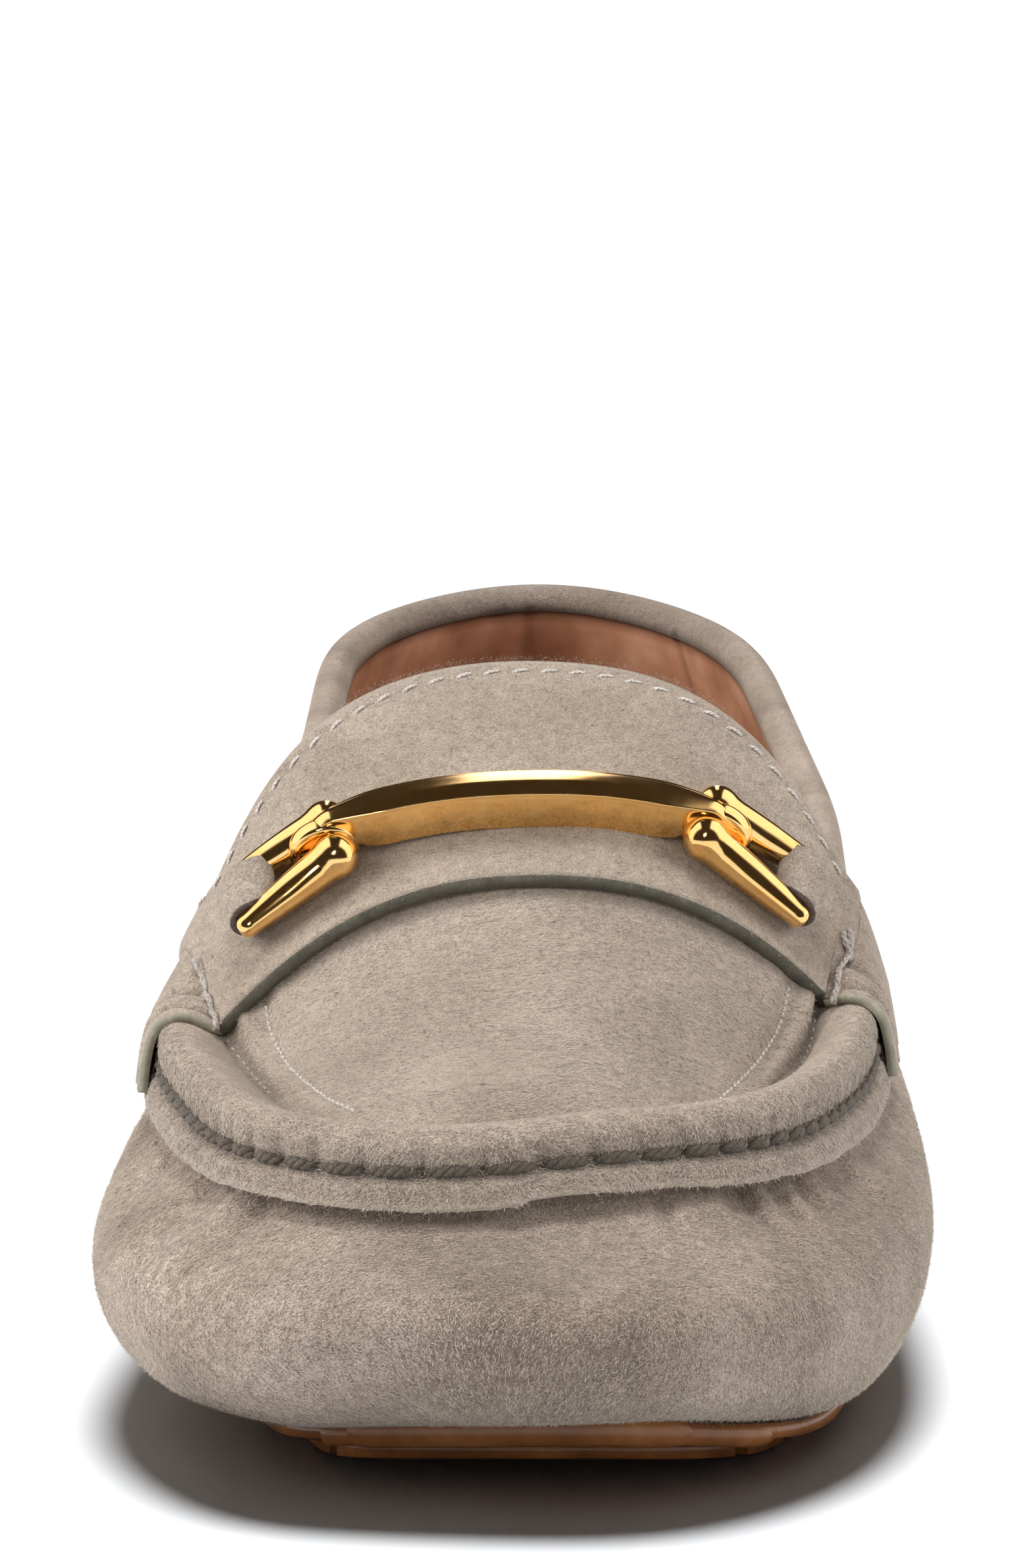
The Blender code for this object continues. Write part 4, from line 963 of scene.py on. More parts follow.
def make_upper(wall, apron, skin, lining):
    """Wall, turned-under margin, padded collar and lining: one closed shell."""
    u = np.linspace(0, wall.period, WALL_STATIONS, endpoint=False)
    outer = wall.section(u)
    normals = grid_normals(outer, wrap=True)
    if np.sum(normals[:, -9] * (outer[:, -9] - outer.mean(axis=(0, 1)))) < 0:
        normals = -normals
    relief, down, pleats = wall_relief(wall, apron, u, outer)
    padding = (wall.thickness(u) - WALL)[:, None] * smooth(1 - down / COLLAR_DEPTH)
    inner = outer - normals * (WALL + padding)[..., None]
    outer = outer + normals * relief[..., None]
    rise = unit(outer[:, -1] - outer[:, -2])
    centre = (outer[:, -1] + inner[:, -1]) / 2
    radius = np.linalg.norm(outer[:, -1] - inner[:, -1], axis=1) / 2
    cap = []
    for angle in np.radians(np.arange(12, 180, 12)):
        level = (outer[:, -1] - centre) * math.cos(angle)
        cap.append(centre + level + rise * (radius * math.sin(angle))[:, None])
    wrap = smooth((down - COLLAR_WRAP) / (0.9 * MM))
    creased = sum(share * bell(u - wall.heel_u - place, width) for place, width, share in LINING_CREASES)
    sunk = 0.4 * MM * wrap * wall.collar(u)[:, None] + (LINING_CREASE_DEPTH * creased)[:, None] * wrap
    inner = inner + normals * sunk[..., None]
    rows = outer.shape[1]
    inner_rows = [k for k in range(rows) if k % 2 == 0 or k >= rows - 16][::-1]
    loops = np.concatenate([outer, np.stack(cap, axis=1), inner[:, inner_rows]], axis=1)
    around = loops.shape[1]
    first = rows + len(cap)
    inside = np.zeros((WALL_STATIONS, around), int)
    inside_down = down[:, inner_rows]
    inside[:, first:] = (inside_down > COLLAR_WRAP) | (wall.collar(u)[:, None] < 0.5)
    marks = np.zeros((WALL_STATIONS, around, 3))
    marks[:, :rows, 0] = smooth((down - LIP) / (4 * MM))
    # Painted shade in the gathers' hollows, and a painted shadow along the wall just under the lip.
    shaded = 0.2 * np.clip(-pleats, 0, 1) + 0.5 * bell(down - 1.05 * LIP, 1.6 * MM)
    front = 1 - smooth((abs(apron.signed(u)) - 108 * MM) / (8 * MM))
    toe = apron.signed(u)[:, None]
    # Darker suede over the toe's front middle and down its lateral side: partly nap stroked the dark way,
    # partly painted shade for light falling more from the medial side.
    stroked = 0.33 * bell(toe - 6 * MM, 30 * MM) * (1 + 0.5 * wander(toe + down, 9 * MM, 44))
    lateral = 0.2 * smooth((toe - 24 * MM) / (20 * MM))
    stroked = stroked + lateral * (1 + 0.6 * wander(toe - down, 12 * MM, 45))
    shaded = shaded + stroked * smooth((down - LIP) / (6 * MM))
    marks[:, :rows, 1] = shaded * front[:, None]
    marks[:, 3:5, 2] = 0.5
    # Painted shade on the lining, just below its seam with the suede and in its creases.
    under_seam = bell(inside_down - COLLAR_WRAP - 0.4 * MM, 0.8 * MM) * wall.collar(u)[:, None]
    marks[:, first:, 1] = 0.75 * under_seam + 0.5 * creased[:, None]
    # Painted shade over the collar's top round the heel.
    marks[:, rows - 2 : first + 2, 1] += 0.42 * bell(u - wall.heel_u, 60 * MM)[:, None]
    obj = piece(
        "upper_suede", (loops.reshape(-1, 3), loop_faces(loops, closed=True)), [skin, lining],
        ["upper"], marks.reshape(-1, 3), inside.ravel(),
    )
    return obj


def panel_relief(x, y):
    """Folds on the apron's panel: a fine sewn line, a rib and a plain fold, on each side."""
    relief, shade = np.zeros_like(x), np.zeros_like(x)
    for side in (-1, 1):
        gap, gone = line_distance(x, y, polyline(SEWN_FOLDS[side]))
        fade = 1 - smooth((gone - 0.72) / 0.28)
        relief -= 0.35 * MM * bell(gap, 0.6 * MM) * fade
        relief += 0.22 * MM * bell(abs(gap) - 1.7 * MM, 1.1 * MM) * fade
        gap, gone = line_distance(x, y, polyline(PLAIN_FOLDS[side]))
        fade = 1 - smooth((gone - 0.55) / 0.45)
        relief -= 0.8 * MM * bell(gap, 0.6 * MM) * fade
        shade += 0.4 * bell(gap, 0.6 * MM) * fade
        gap, gone = line_distance(x, y, polyline(RIBS[side]))
        fade = 1 - smooth((gone - 0.5) / 0.5)
        relief += 1.05 * MM * bell(gap, 0.75 * MM) * fade
        shade += 0.25 * bell(abs(gap) - 1.2 * MM, 0.35 * MM) * fade
    return relief, shade


def spine_joined(outer):
    """Numbers for a grid's points, the same number where lines meet on the spine."""
    lines, steps = outer.shape[:2]
    index = np.arange(lines * (steps - 1)).reshape(lines, steps - 1)
    _, spine = np.unique(np.round(outer[:, -1, 1], 7), return_inverse=True)
    index = np.column_stack([index, lines * (steps - 1) + spine.ravel()])
    return index, int(index.max()) + 1


def settle(outer, index, count):
    """Evens out the panel's height where its lines come together, up to the roll."""
    points = np.zeros((count, 3))
    points[index] = outer
    first = np.concatenate([index[:, :-1].ravel(), index[:-1].ravel()])
    second = np.concatenate([index[:, 1:].ravel(), index[1:].ravel()])
    kept = first != second
    first, second = first[kept], second[kept]
    weight = 1 / np.maximum(np.linalg.norm(points[first] - points[second], axis=1), 0.2 * MM)
    total = np.zeros(count)
    np.add.at(total, first, weight)
    np.add.at(total, second, weight)
    free = np.zeros(count)
    covered = STRAP_LINES // 2 - np.minimum(np.arange(len(outer)), np.arange(len(outer))[::-1])
    inside_roll = smooth((np.arange(outer.shape[1]) - LIP_STEPS - ROLL_STEPS - 1) / 12)
    free[index] = inside_roll * smooth(1 - covered / 6)[:, None]
    for _ in range(220):
        height = np.zeros(count)
        np.add.at(height, first, weight * points[second, 2])
        np.add.at(height, second, weight * points[first, 2])
        points[:, 2] += 0.7 * free * (height / total - points[:, 2])
    outer[:] = points[index]


def make_apron(wall, apron, skin, lining):
    """The apron: panel, rolled rim, hand-sewn groove and hand-cut lip in one sheet."""
    places = apron_places(wall)
    outer = np.array([apron.line(*place) for place in places])
    index, count = spine_joined(outer)
    settle(outer, index, count)
    normals = grid_normals(outer)
    if normals[:, -10:, 2].sum() < 0:
        normals = -normals
    shared = np.zeros((count, 3))
    np.add.at(shared, index[:, -1], normals[:, -2])
    normals[:, -1] = unit(shared)[index[:, -1]]
    inner = outer - normals * APRON
    for i, (_, u, _) in enumerate(places):
        inner[i, :LIP_STEPS] = apron.sewn_inner(u)
        for j in range(3):
            gone = (j + 1) / 4
            inner[i, LIP_STEPS + j] = inner[i, LIP_STEPS - 1] * (1 - gone) + inner[i, LIP_STEPS + 3] * gone
    free = smooth((np.arange(outer.shape[1]) - LIP_STEPS - 4) / 8)
    relief, shade = panel_relief(outer[..., 0], outer[..., 1])
    front = (outer[..., 1] < at_length(0.31)).astype(float)
    soft = wander(outer[..., 0] + 0.4 * outer[..., 1], 12 * MM, 41) * wander(outer[..., 1], 15 * MM, 42)
    outer = outer + normals * ((relief * front + 0.3 * MM * soft) * free)[..., None]
    points = np.zeros((2 * count, 3))
    points[index], points[count + index] = outer, inner
    step = np.arange(outer.shape[1])
    marks = np.zeros((2 * count, 3))
    marks[index, 0] = 1 - smooth((step - LIP_STEPS - ROLL_STEPS * 0.45) / (ROLL_STEPS * 0.5))
    # Painted shade in the stitched groove, in each stitch hole and over the lip, with the folds' painted
    # shade on the panel.
    groove = bell(step - LIP_STEPS + 0.5, 1.6)
    lower = 0.2 * (1 - smooth((step - LIP_STEPS - 4) / 8))
    near_hole = [bell(np.abs(apron.holes - apron.signed(u)).min(), 1.1 * MM) for _, u, _ in places]
    near_hole = np.array(near_hole)
    pricked = 0.6 * near_hole[:, None] * bell(step - LIP_STEPS + 0.5, 2.5)
    marks[index, 1] = np.clip(0.6 * groove + pricked + lower + shade * front * free, 0, 1)
    marks[index[:, 0], 2] = marks[count + index[:, 0], 2] = 0.6
    marks[index[:, 1], 2] = 0.25
    faces, finish = [], []
    lines, steps = index.shape
    for i in range(lines - 1):
        near, far = index[i], index[i + 1]
        for j in range(steps - 1):
            face = tuple(dict.fromkeys((near[j], near[j + 1], far[j + 1], far[j])))
            if len(face) > 2:
                faces += [face, tuple(count + k for k in reversed(face))]
                finish += [0, 1]
        faces.append((near[0], far[0], count + far[0], count + near[0]))
        finish.append(0)
    for i in (0, lines - 1):
        row = index[i]
        for j in range(steps - 1):
            faces.append((row[j], row[j + 1], count + row[j + 1], count + row[j]))
            finish.append(0)
    return piece("apron_suede", (points, faces), [skin, lining], ["apron"], marks, finish)


def taut(line):
    """The line's points outside the roll's crest, moved to leather drawn tight over them."""
    away = unit(line[0, :2] - line[-1, :2])
    rim = line[: ROLL_STEPS + LIP_STEPS]
    reach = (rim[:, :2] - line[-1, :2]) @ away
    crest = int(np.argmax(rim[:, 2] + 0.8 * reach))
    end = line[0] + (line[LIP_STEPS - 1] - line[0]) * EAR_CUT
    body = np.vstack([end, rim[LIP_STEPS : crest + 1]])
    along = (body[:, :2] - line[-1, :2]) @ away
    hull = [len(body) - 1]
    while hull[-1] > 0:
        now = hull[-1]
        angles = np.arctan2(body[now, 2] - body[:now, 2], along[:now] - along[now])
        hull.append(int(np.argmin(angles)))
    hull = body[hull[::-1]]
    place = lengths_along(hull)
    share = np.arange(crest) / crest
    raised = line.copy()
    raised[:crest] = read_at(share * place[-1], place, hull)
    raised[:crest] += (EAR_BELLY * np.sin(share * math.pi))[:, None] * np.array([*(away * 0.75), 0.66])
    return raised


class Strap:
    """The strap over the instep: a thick saddle, and at each end a thin ear that hugs the roll."""

    def __init__(self, wall, apron):
        lines = []
        for t in np.linspace(0, 1, STRAP_LINES):
            seam_medial, seam_lateral, spine = strap_share(t)
            medial = taut(apron.line(-1, wall.seam_place(-1, seam_medial), spine))
            lateral = taut(apron.line(1, wall.seam_place(1, seam_lateral), spine))
            lines.append(np.vstack([medial, lateral[::-1][1:]]))
        base = np.array(lines)
        for _ in range(14):
            base[:, 1:-1] += 0.25 * (base[:, 2:] + base[:, :-2] - 2 * base[:, 1:-1])
        places = [lengths_along(line) for line in base]
        seams = []
        for line, place in zip(base, places):
            seams.append([self.crossing(line, place, side) for side in (-1, 1)])
        self.saddle = self.resampled(base, places, seams, SADDLE_COLUMNS)
        tuck = 1.0 * MM
        ends = [[0, seam[0] + tuck] for seam in seams]
        self.ears = {-1: self.resampled(base, places, ends, EAR_COLUMNS)}
        ends = [[seam[1] - tuck, place[-1]] for seam, place in zip(seams, places)]
        self.ears[1] = self.resampled(base, places, ends, EAR_COLUMNS)
        self.normals = self.upward(self.saddle)
        self.inner = self.saddle + self.normals * STRAP_FIT
        across = lengths_along(self.saddle, axis=1)
        self.to_seam = np.minimum(across, across[:, -1:] - across)
        thick = STRAP * (1 - 0.45 * bell(self.to_seam, 1.1 * MM))
        self.outer = self.inner + self.normals * thick[..., None]

    @staticmethod
    def crossing(line, place, side):
        """How far along a line it crosses the seam between saddle and ear."""
        seam = polyline(EAR_SEAMS[side])
        past = (line[:, 0] - np.interp(line[:, 1], seam[:, 1], seam[:, 0])) * side
        k = len(line) // 2
        while past[k] < 0 and 0 < k < len(line) - 1:
            k += side
        share = past[k] / (past[k] - past[k - side])
        return place[k] + (place[k - side] - place[k]) * share

    @staticmethod
    def resampled(base, places, ends, count):
        """Each line read anew at count even steps between its two ends."""
        lines = zip(base, places, ends)
        return np.array([read_at(np.linspace(*end, count), place, line) for line, place, end in lines])

    @staticmethod
    def upward(grid):
        normals = grid_normals(grid)
        return normals if normals[..., 2].sum() > 0 else -normals

    def frame(self, along, across):
        """Point on the strap's top face, with its normal, outward and rearward directions."""
        found = []
        for line, normal in zip(self.outer, self.normals):
            order = np.argsort(line[:, 0])
            found.append(read_at([across], line[order, 0], np.hstack([line, normal])[order])[0])
        found = np.array(found)
        row = read_at([at_length(along)], found[:, 1], found)[0]
        point, up = row[:3], unit(row[3:])
        back = unit(np.array([0, 1, 0]) - up * up[1])
        out = np.cross(back, up)
        return point, up, out if out[0] * across > 0 else -out, back

    def row_from_throat(self, margin):
        """The line on the top face that runs a margin in front of the throat's edge."""
        columns, turned = self.outer[::-1], self.normals[::-1]
        lengths = lengths_along(columns)
        found = []
        for j in range(columns.shape[1]):
            found.append(read_at([margin], lengths[:, j], np.hstack([columns[:, j], turned[:, j]]))[0])
        found = np.array(found)
        return found[:, :3], unit(found[:, 3:])


def make_strap(strap, skin, edge, pale_edge):
    """The saddle, its front edge cut and inked, pricked along the throat for a row of stitches."""
    outer, normals = strap.outer.copy(), strap.normals
    soft = wander(outer[..., 0] + 0.3 * outer[..., 1], 16 * MM, 51) * wander(outer[..., 1], 13 * MM, 52)
    throat, _ = strap.row_from_throat(THROAT_MARGIN)
    from_row = np.linalg.norm(outer - throat[None], axis=2)
    place = lengths_along(throat)
    pricks = bell(np.mod(place, THROAT_PITCH) - THROAT_PITCH / 2, 0.6 * MM)
    sewn = -0.35 * MM * bell(from_row, 0.7 * MM) * (0.35 + 0.65 * pricks)[None]
    outer = outer + normals * (sewn + 0.2 * MM * soft)[..., None]
    rounding = np.zeros(outer.shape[:2])
    rounding[0], rounding[-1] = 0.15 * MM, 0.35 * MM
    rounding[-2] = 0.08 * MM
    outer = outer - normals * rounding[..., None]
    points, faces, rim = sheet(outer, strap.inner)
    marks = np.zeros((2, *outer.shape[:2], 3))
    marks[0, ..., 0] = 0.25
    # Painted shade along the groove where the saddle meets each ear.
    marks[0, ..., 1] = 0.35 * bell(strap.to_seam, 0.5 * MM)
    marks[0, 0, :, 2] = marks[0, -1, :, 2] = 0.45
    finish = np.zeros(len(faces), int)
    finish[-rim : outer.shape[1] - 1 - rim] = 1
    bundle = Bundle()
    bundle.add((points, faces))
    marks = [marks.reshape(-1, 3)]
    for side in (-1, 1):
        ear, shade, trim = ear_sheet(strap.ears[side], side)
        bundle.add(ear)
        marks.append(shade)
        finish = np.concatenate([finish, trim])
    return piece(
        "saddle_strap_suede", bundle.mesh(), [skin, edge, pale_edge], ["saddle_strap"],
        np.vstack(marks), finish,
    )


def ear_sheet(grid, side):
    """An ear: thin leather that puffs between creases running with its front edge."""
    normals = Strap.upward(grid)
    normals = normals if side * np.mean(normals[:, 0 if side < 0 else -1, 0]) > 0 else -normals
    back = lengths_along(grid)
    puff = 0.35 * MM * (1 - bell(back, 1.5 * MM))
    shade = np.zeros(grid.shape[:2])
    across = np.arange(grid.shape[1])[None] * MM
    for k, crease in enumerate(EAR_CREASES):
        gap = back - crease * (1 + 0.15 * wander(across, 14 * MM, 81 + k + side))
        puff = puff - EAR_CREASE_DEPTH * bell(gap, 0.65 * MM)
        shade = shade + 0.5 * bell(gap, 0.5 * MM)
    inner = grid + normals * 0.15 * MM
    outer = inner + normals * (EAR + puff)[..., None]
    points, faces, rim = sheet(outer, inner)
    marks = np.zeros((2, *grid.shape[:2], 3))
    marks[0, ..., 0] = 0.6
    marks[0, ..., 1] = shade
    marks[:, 0, :, 2] = 0.3
    finish = np.zeros(len(faces), int)
    finish[-rim : grid.shape[1] - 1 - rim] = 2
    return (points, faces), marks.reshape(-1, 3), finish


def sole_bounds(wall, reach):
    """The sole outline's medial and lateral x as functions of y, and its y limits."""
    u = np.linspace(0, wall.period, 1500, endpoint=False)
    plan = wall.sole_edge(u, reach)
    plan = np.roll(plan, -int(np.argmin(plan[:, 1])), axis=0)
    back = int(np.argmax(plan[:, 1]))
    lateral, medial = plan[: back + 1], np.vstack([plan[back:], plan[:1]])[::-1]

    def at(y):
        return np.interp(y, medial[:, 1], medial[:, 0]), np.interp(y, lateral[:, 1], lateral[:, 0])

    return at, plan[0, 1], plan[back, 1]


def plate(wall, reach, top, bottom, span=None, ease=0.0, rows=90):
    """A plate of the sole's outline between two heights over the ground line."""
    at, front, back = sole_bounds(wall, reach)
    start, end = span if span else (front, back)
    start, end = max(start, front + 0.4 * MM), min(end, back - 0.4 * MM)
    across = np.sin(np.linspace(-1, 1, PLATE_POINTS) * math.pi / 2)
    upper, lower = [], []
    for k in range(rows + 1):
        y = start + (end - start) * (1 - math.cos(k / rows * math.pi)) / 2
        medial, lateral = at(y)
        x = (medial + lateral) / 2 + (lateral - medial) / 2 * across
        rounding = ease * smooth((abs(across) - 0.8) / 0.2)
        near_end = smooth(1 - min(y - start, end - y) / END_EASE)
        rounding = np.maximum(rounding, ease * near_end)
        ground = ground_rise(y)
        level = np.full(PLATE_POINTS, y)
        upper.append(np.column_stack([x, level, np.full(PLATE_POINTS, ground + top)]))
        lower.append(np.column_stack([x, level, ground + bottom + rounding]))
    return sheet(np.array(upper), np.array(lower))[:2]


def make_outsole(wall, rubber):
    """The rubber unit: a thin plate, tread bars under forefoot and heel, and a toe pad."""
    rubber_unit = Bundle()
    rubber_unit.add(plate(wall, SOLE_REACH, PLATE + TREAD, TREAD, ease=PLATE * 0.35))
    for start, end in PADS.values():
        start, end = at_length(start), at_length(end)
        count = int((end - start) / GROOVE_PITCH)
        first = (start + end) / 2 - (count - 1) / 2 * GROOVE_PITCH
        cuts = [first + k * GROOVE_PITCH for k in range(count)]
        lows = [start] + [cut + GROOVE / 2 for cut in cuts]
        highs = [cut - GROOVE / 2 for cut in cuts] + [end]
        for low, high in zip(lows, highs):
            reach = SOLE_REACH - PAD_INSET
            rubber_unit.add(plate(wall, reach, TREAD + PLATE / 3, 0.0, (low, high), TREAD * 0.2, 10))
    for row in BUMPER_ROWS:
        rubber_unit.add(bumper(wall, *row))
    return piece("outsole_rubber", rubber_unit.mesh(), [rubber], ["outsole"])


def bumper(wall, first, last, proud, high, low):
    """A rubber lip round the sole's edge from one place to another, run out thin at both ends."""
    u = np.linspace(first, last, 120)
    edge, out = wall.sole_edge(u, SOLE_REACH), wall.outward(u)
    ends = np.clip(np.minimum(u - first, last - u) / BUMPER_END, 0, 1)
    ends = np.sqrt(np.clip(1 - (1 - ends) ** 2, 0, 1))
    middle = (high + low) / 2
    rows = []
    for turn in np.linspace(0, 2 * math.pi, 28, endpoint=False):
        level = math.copysign(abs(math.cos(turn)) ** 0.6, math.cos(turn))
        height = math.copysign(abs(math.sin(turn)) ** 0.75, math.sin(turn))
        reach = -BUMPER_ROOT + (proud + BUMPER_ROOT) * level * (0.55 + 0.45 * ends)
        reach = reach - 0.5 * MM * max(-height, 0)
        rise = middle + (high - middle) * height * (0.35 + 0.65 * ends)
        rows.append(np.column_stack([edge + out * reach[:, None], ground_rise(edge[:, 1]) + rise]))
    return capped(np.stack(rows, axis=1))


def make_sock(wall, lining):
    """The sock: a thin leather-covered footbed, its edges rounded."""
    shelf = PLATE + TREAD + FIT + WALL + FIT
    mesh = plate(wall, INSOLE_REACH, shelf + INSOLE, shelf, ease=INSOLE * 0.7, rows=70)
    obj = piece("sock_leather", mesh, [lining], ["insole"])
    bevel = obj.modifiers.new("Bevel", "BEVEL")
    bevel.width, bevel.segments = 0.5 * MM, 2
    bevel.limit_method, bevel.angle_limit = "ANGLE", math.radians(45)
    return obj


class Stirrup:
    """Where one stirrup and its eye lie on the strap. side: -1 medial, 1 lateral."""

    def __init__(self, strap, side):
        across, along = EYE_PLACES[side]
        place, up, out, back = strap.frame(along, across)
        self.side = side
        self.eye = place + up * EYE_STAND
        self.back, self.up, self.out = back, up, out
        self.ring = self.eye + out * EYE_HANG[0] + up * EYE_HANG[1]
        across, along = LINK_PLACES[side]
        place, self.far_up, self.far_out, far_back = strap.frame(along, across)
        self.far = place + self.far_up * (FIT + KEEPER + FIT + LINK)
        self.far_back = unit(far_back * TIP_SPREAD - self.far_out * TIP_TWIST)
        self.balls = [self.eye + back * BALL_SPREAD * way for way in (-1, 1)]
        self.tips = [self.far + self.far_back * TIP_SPREAD * way for way in (-1, 1)]


def arm(ball, tip, up):
    """Ball and arm in one cast form: full at the ball, lightly waisted, tapered to a blunt tip.

    The arm's section has a soft ridge along its upper front, between two flatter faces.
    """
    along = unit(tip - ball)
    reach = np.linalg.norm(tip - ball) + TIP
    gone = np.concatenate(
        [
            BALL * -np.cos(np.linspace(ARM_POLE, math.pi / 2, 16)),
            np.linspace(0, reach - TIP, 44)[1:],
            reach - TIP + TIP * np.sin(np.linspace(0, math.pi / 2 - ARM_POLE, 12)[1:]),
        ]
    )
    share = np.clip(gone / (reach - TIP), 0, 1)
    ball_part = np.sqrt(np.clip(BALL**2 - gone**2, 0, None))
    taper = TIP + (ARM - TIP) * (1 - share**ARM_TAPER)
    taper = taper * smooth((gone + BALL * 0.5) / (BALL * 1.2))
    past = np.clip((gone - (reach - TIP)) / TIP, 0, 1)
    taper = taper * np.clip(1 - past**TIP_BLUNT, 0, 1) ** (1 / TIP_BLUNT)
    radius = (ball_part**ARM_BLEND + taper**ARM_BLEND) ** (1 / ARM_BLEND)
    side = unit(np.cross(along, up))
    lift = np.cross(side, along)
    if side[1] > 0:
        side = -side
    angle = np.arange(ROUND) / ROUND * 2 * math.pi
    shaped = smooth((gone - BALL * 0.9) / (BALL * 1.6))[:, None]
    turned = angle - math.radians(RIDGE - 45)
    squared = np.abs(np.cos(turned)) ** ARM_SQUARE + np.abs(np.sin(turned)) ** ARM_SQUARE
    radius = radius[:, None] * (1 + shaped * (0.95 * squared ** (-1 / ARM_SQUARE) - 1))
    path = ball + along * gone[:, None]
    ring = side * (radius * np.cos(angle))[..., None] + lift * (radius * np.sin(angle))[..., None]
    return capped(path[:, None] + ring)


def make_stirrup(name, place, gold):
    """Two balls with their arms, joined by a link in the bar's ring and one in the keeper."""
    bundle = Bundle()
    for ball, tip in zip(place.balls, place.tips):
        bundle.add(arm(ball, tip, place.up))
    for first, last in (place.balls, place.tips):
        path = [first + (last - first) * t for t in (0, 0.5, 1)]
        bundle.add(tube(path, LINK, ROUND, np.array([0, 0, 1.0])))
    return piece(f"{name}_gold", bundle.mesh(), [gold], [name])


def eye_ring(place):
    """The ring at a bar's end, its rim rounded, hung outwards on the stirrup's link."""
    middle, thick = (EYE_RADIUS + EYE_HOLE) / 2, (EYE_RADIUS - EYE_HOLE) / 2
    turn = np.linspace(0, 2 * math.pi, 24, endpoint=False)
    level, height = [np.sign(wave) * np.abs(wave) ** ROUNDED for wave in (np.cos(turn), np.sin(turn))]
    loops = []
    for angle in np.linspace(0, 2 * math.pi, 72, endpoint=False):
        spoke = place.out * math.cos(angle) + place.up * math.sin(angle)
        ring = place.ring + spoke * (middle + thick * level)[:, None]
        loops.append(ring + place.back * (EYE_WIDTH / 2 * height)[:, None])
    loops = np.array(loops)
    return loops.reshape(-1, 3), loop_faces(loops, closed=True)


def bar_section():
    """The bar's section, back and up in shares of its half width and half face: a flat front
    face with a crisp bevel above it, a crowned top and a rounded back."""
    front = [(-1.0, t) for t in np.linspace(-0.96, 1.06, 8)]
    bevel = [(-0.985, 1.09), (-0.955, 1.115)]
    crown = []
    for t in np.linspace(0, 1, 14):
        crown.append((-0.92 + 1.74 * t, 1.125 + 0.15 * math.sin(math.pi * t) - 0.22 * t**2))
    back = []
    for turn in np.linspace(0, math.pi / 2, 6)[1:]:
        back.append((0.82 + 0.18 * math.sin(turn), 0.725 + 0.18 * math.cos(turn)))
    under = [(1.0, 0.2), (1.0, -0.4), (0.95, -0.8), (0.8, -0.97), (0.4, -1.0), (-0.4, -1.0), (-0.96, -1.0)]
    return np.array(front + bevel + crown + back + under)


def make_bar(strap, medial, lateral, gold):
    """The arched bar, slimmed at its ends, where it bends down into the tops of its eyes."""
    middle, up, _, back = strap.frame(BIT_PLACE, 0.0)
    middle = middle + up * BAR_STAND
    turn = math.radians(BAR_IN_RIM)
    ends = []
    for place in (medial, lateral):
        spoke = place.out * math.cos(turn) + place.up * math.sin(turn)
        ends.append(place.ring + spoke * (EYE_RADIUS + EYE_HOLE) / 2)
    swings = np.linspace(-1, 1, 121)
    chord = ends[0] + (ends[1] - ends[0]) * (swings[:, None] + 1) / 2
    bow = middle - (ends[0] + ends[1]) / 2
    centres = chord + bow * (1 - np.abs(swings[:, None]) ** BAR_BOW)
    along = unit(np.gradient(centres, axis=0))
    lift = unit(np.cross(back, along))
    lift[lift[:, 2] < 0] *= -1
    rear = unit(np.cross(along, lift))
    rear[rear[:, 1] < 0] *= -1
    slim = smooth((abs(swings) - BAR_SLIMS) / (1 - BAR_SLIMS))
    late = smooth((abs(swings) - BAR_TOP_SLIMS) / (1 - BAR_TOP_SLIMS))
    rim = (EYE_RADIUS - EYE_HOLE) / BAR_FACE
    wide = (BAR_WIDTH + (EYE_WIDTH - BAR_WIDTH) * slim) / 2
    top, bottom = [BAR_FACE / 2 * (1 - (1 - rim) * share) for share in (late, slim)]
    step = smooth((abs(swings) - BAR_STEP) / BAR_STEP_OVER)
    bottom = bottom * (1 - BAR_STEP_BY * step * (1 - slim))
    section = bar_section()
    rise = np.where(section[:, 1] > 0, top[:, None], bottom[:, None]) * section[:, 1]
    loops = centres[:, None] + rear[:, None] * (wide[:, None] * section[:, 0])[..., None]
    bundle = Bundle()
    bundle.add(capped(loops + lift[:, None] * rise[..., None]))
    bundle.add(eye_ring(medial))
    bundle.add(eye_ring(lateral))
    obj = piece("bit_bar_gold", bundle.mesh(), [gold], ["bit_bar"])
    obj.data.set_sharp_from_angle(angle=math.radians(BAR_SHARP))
    return obj


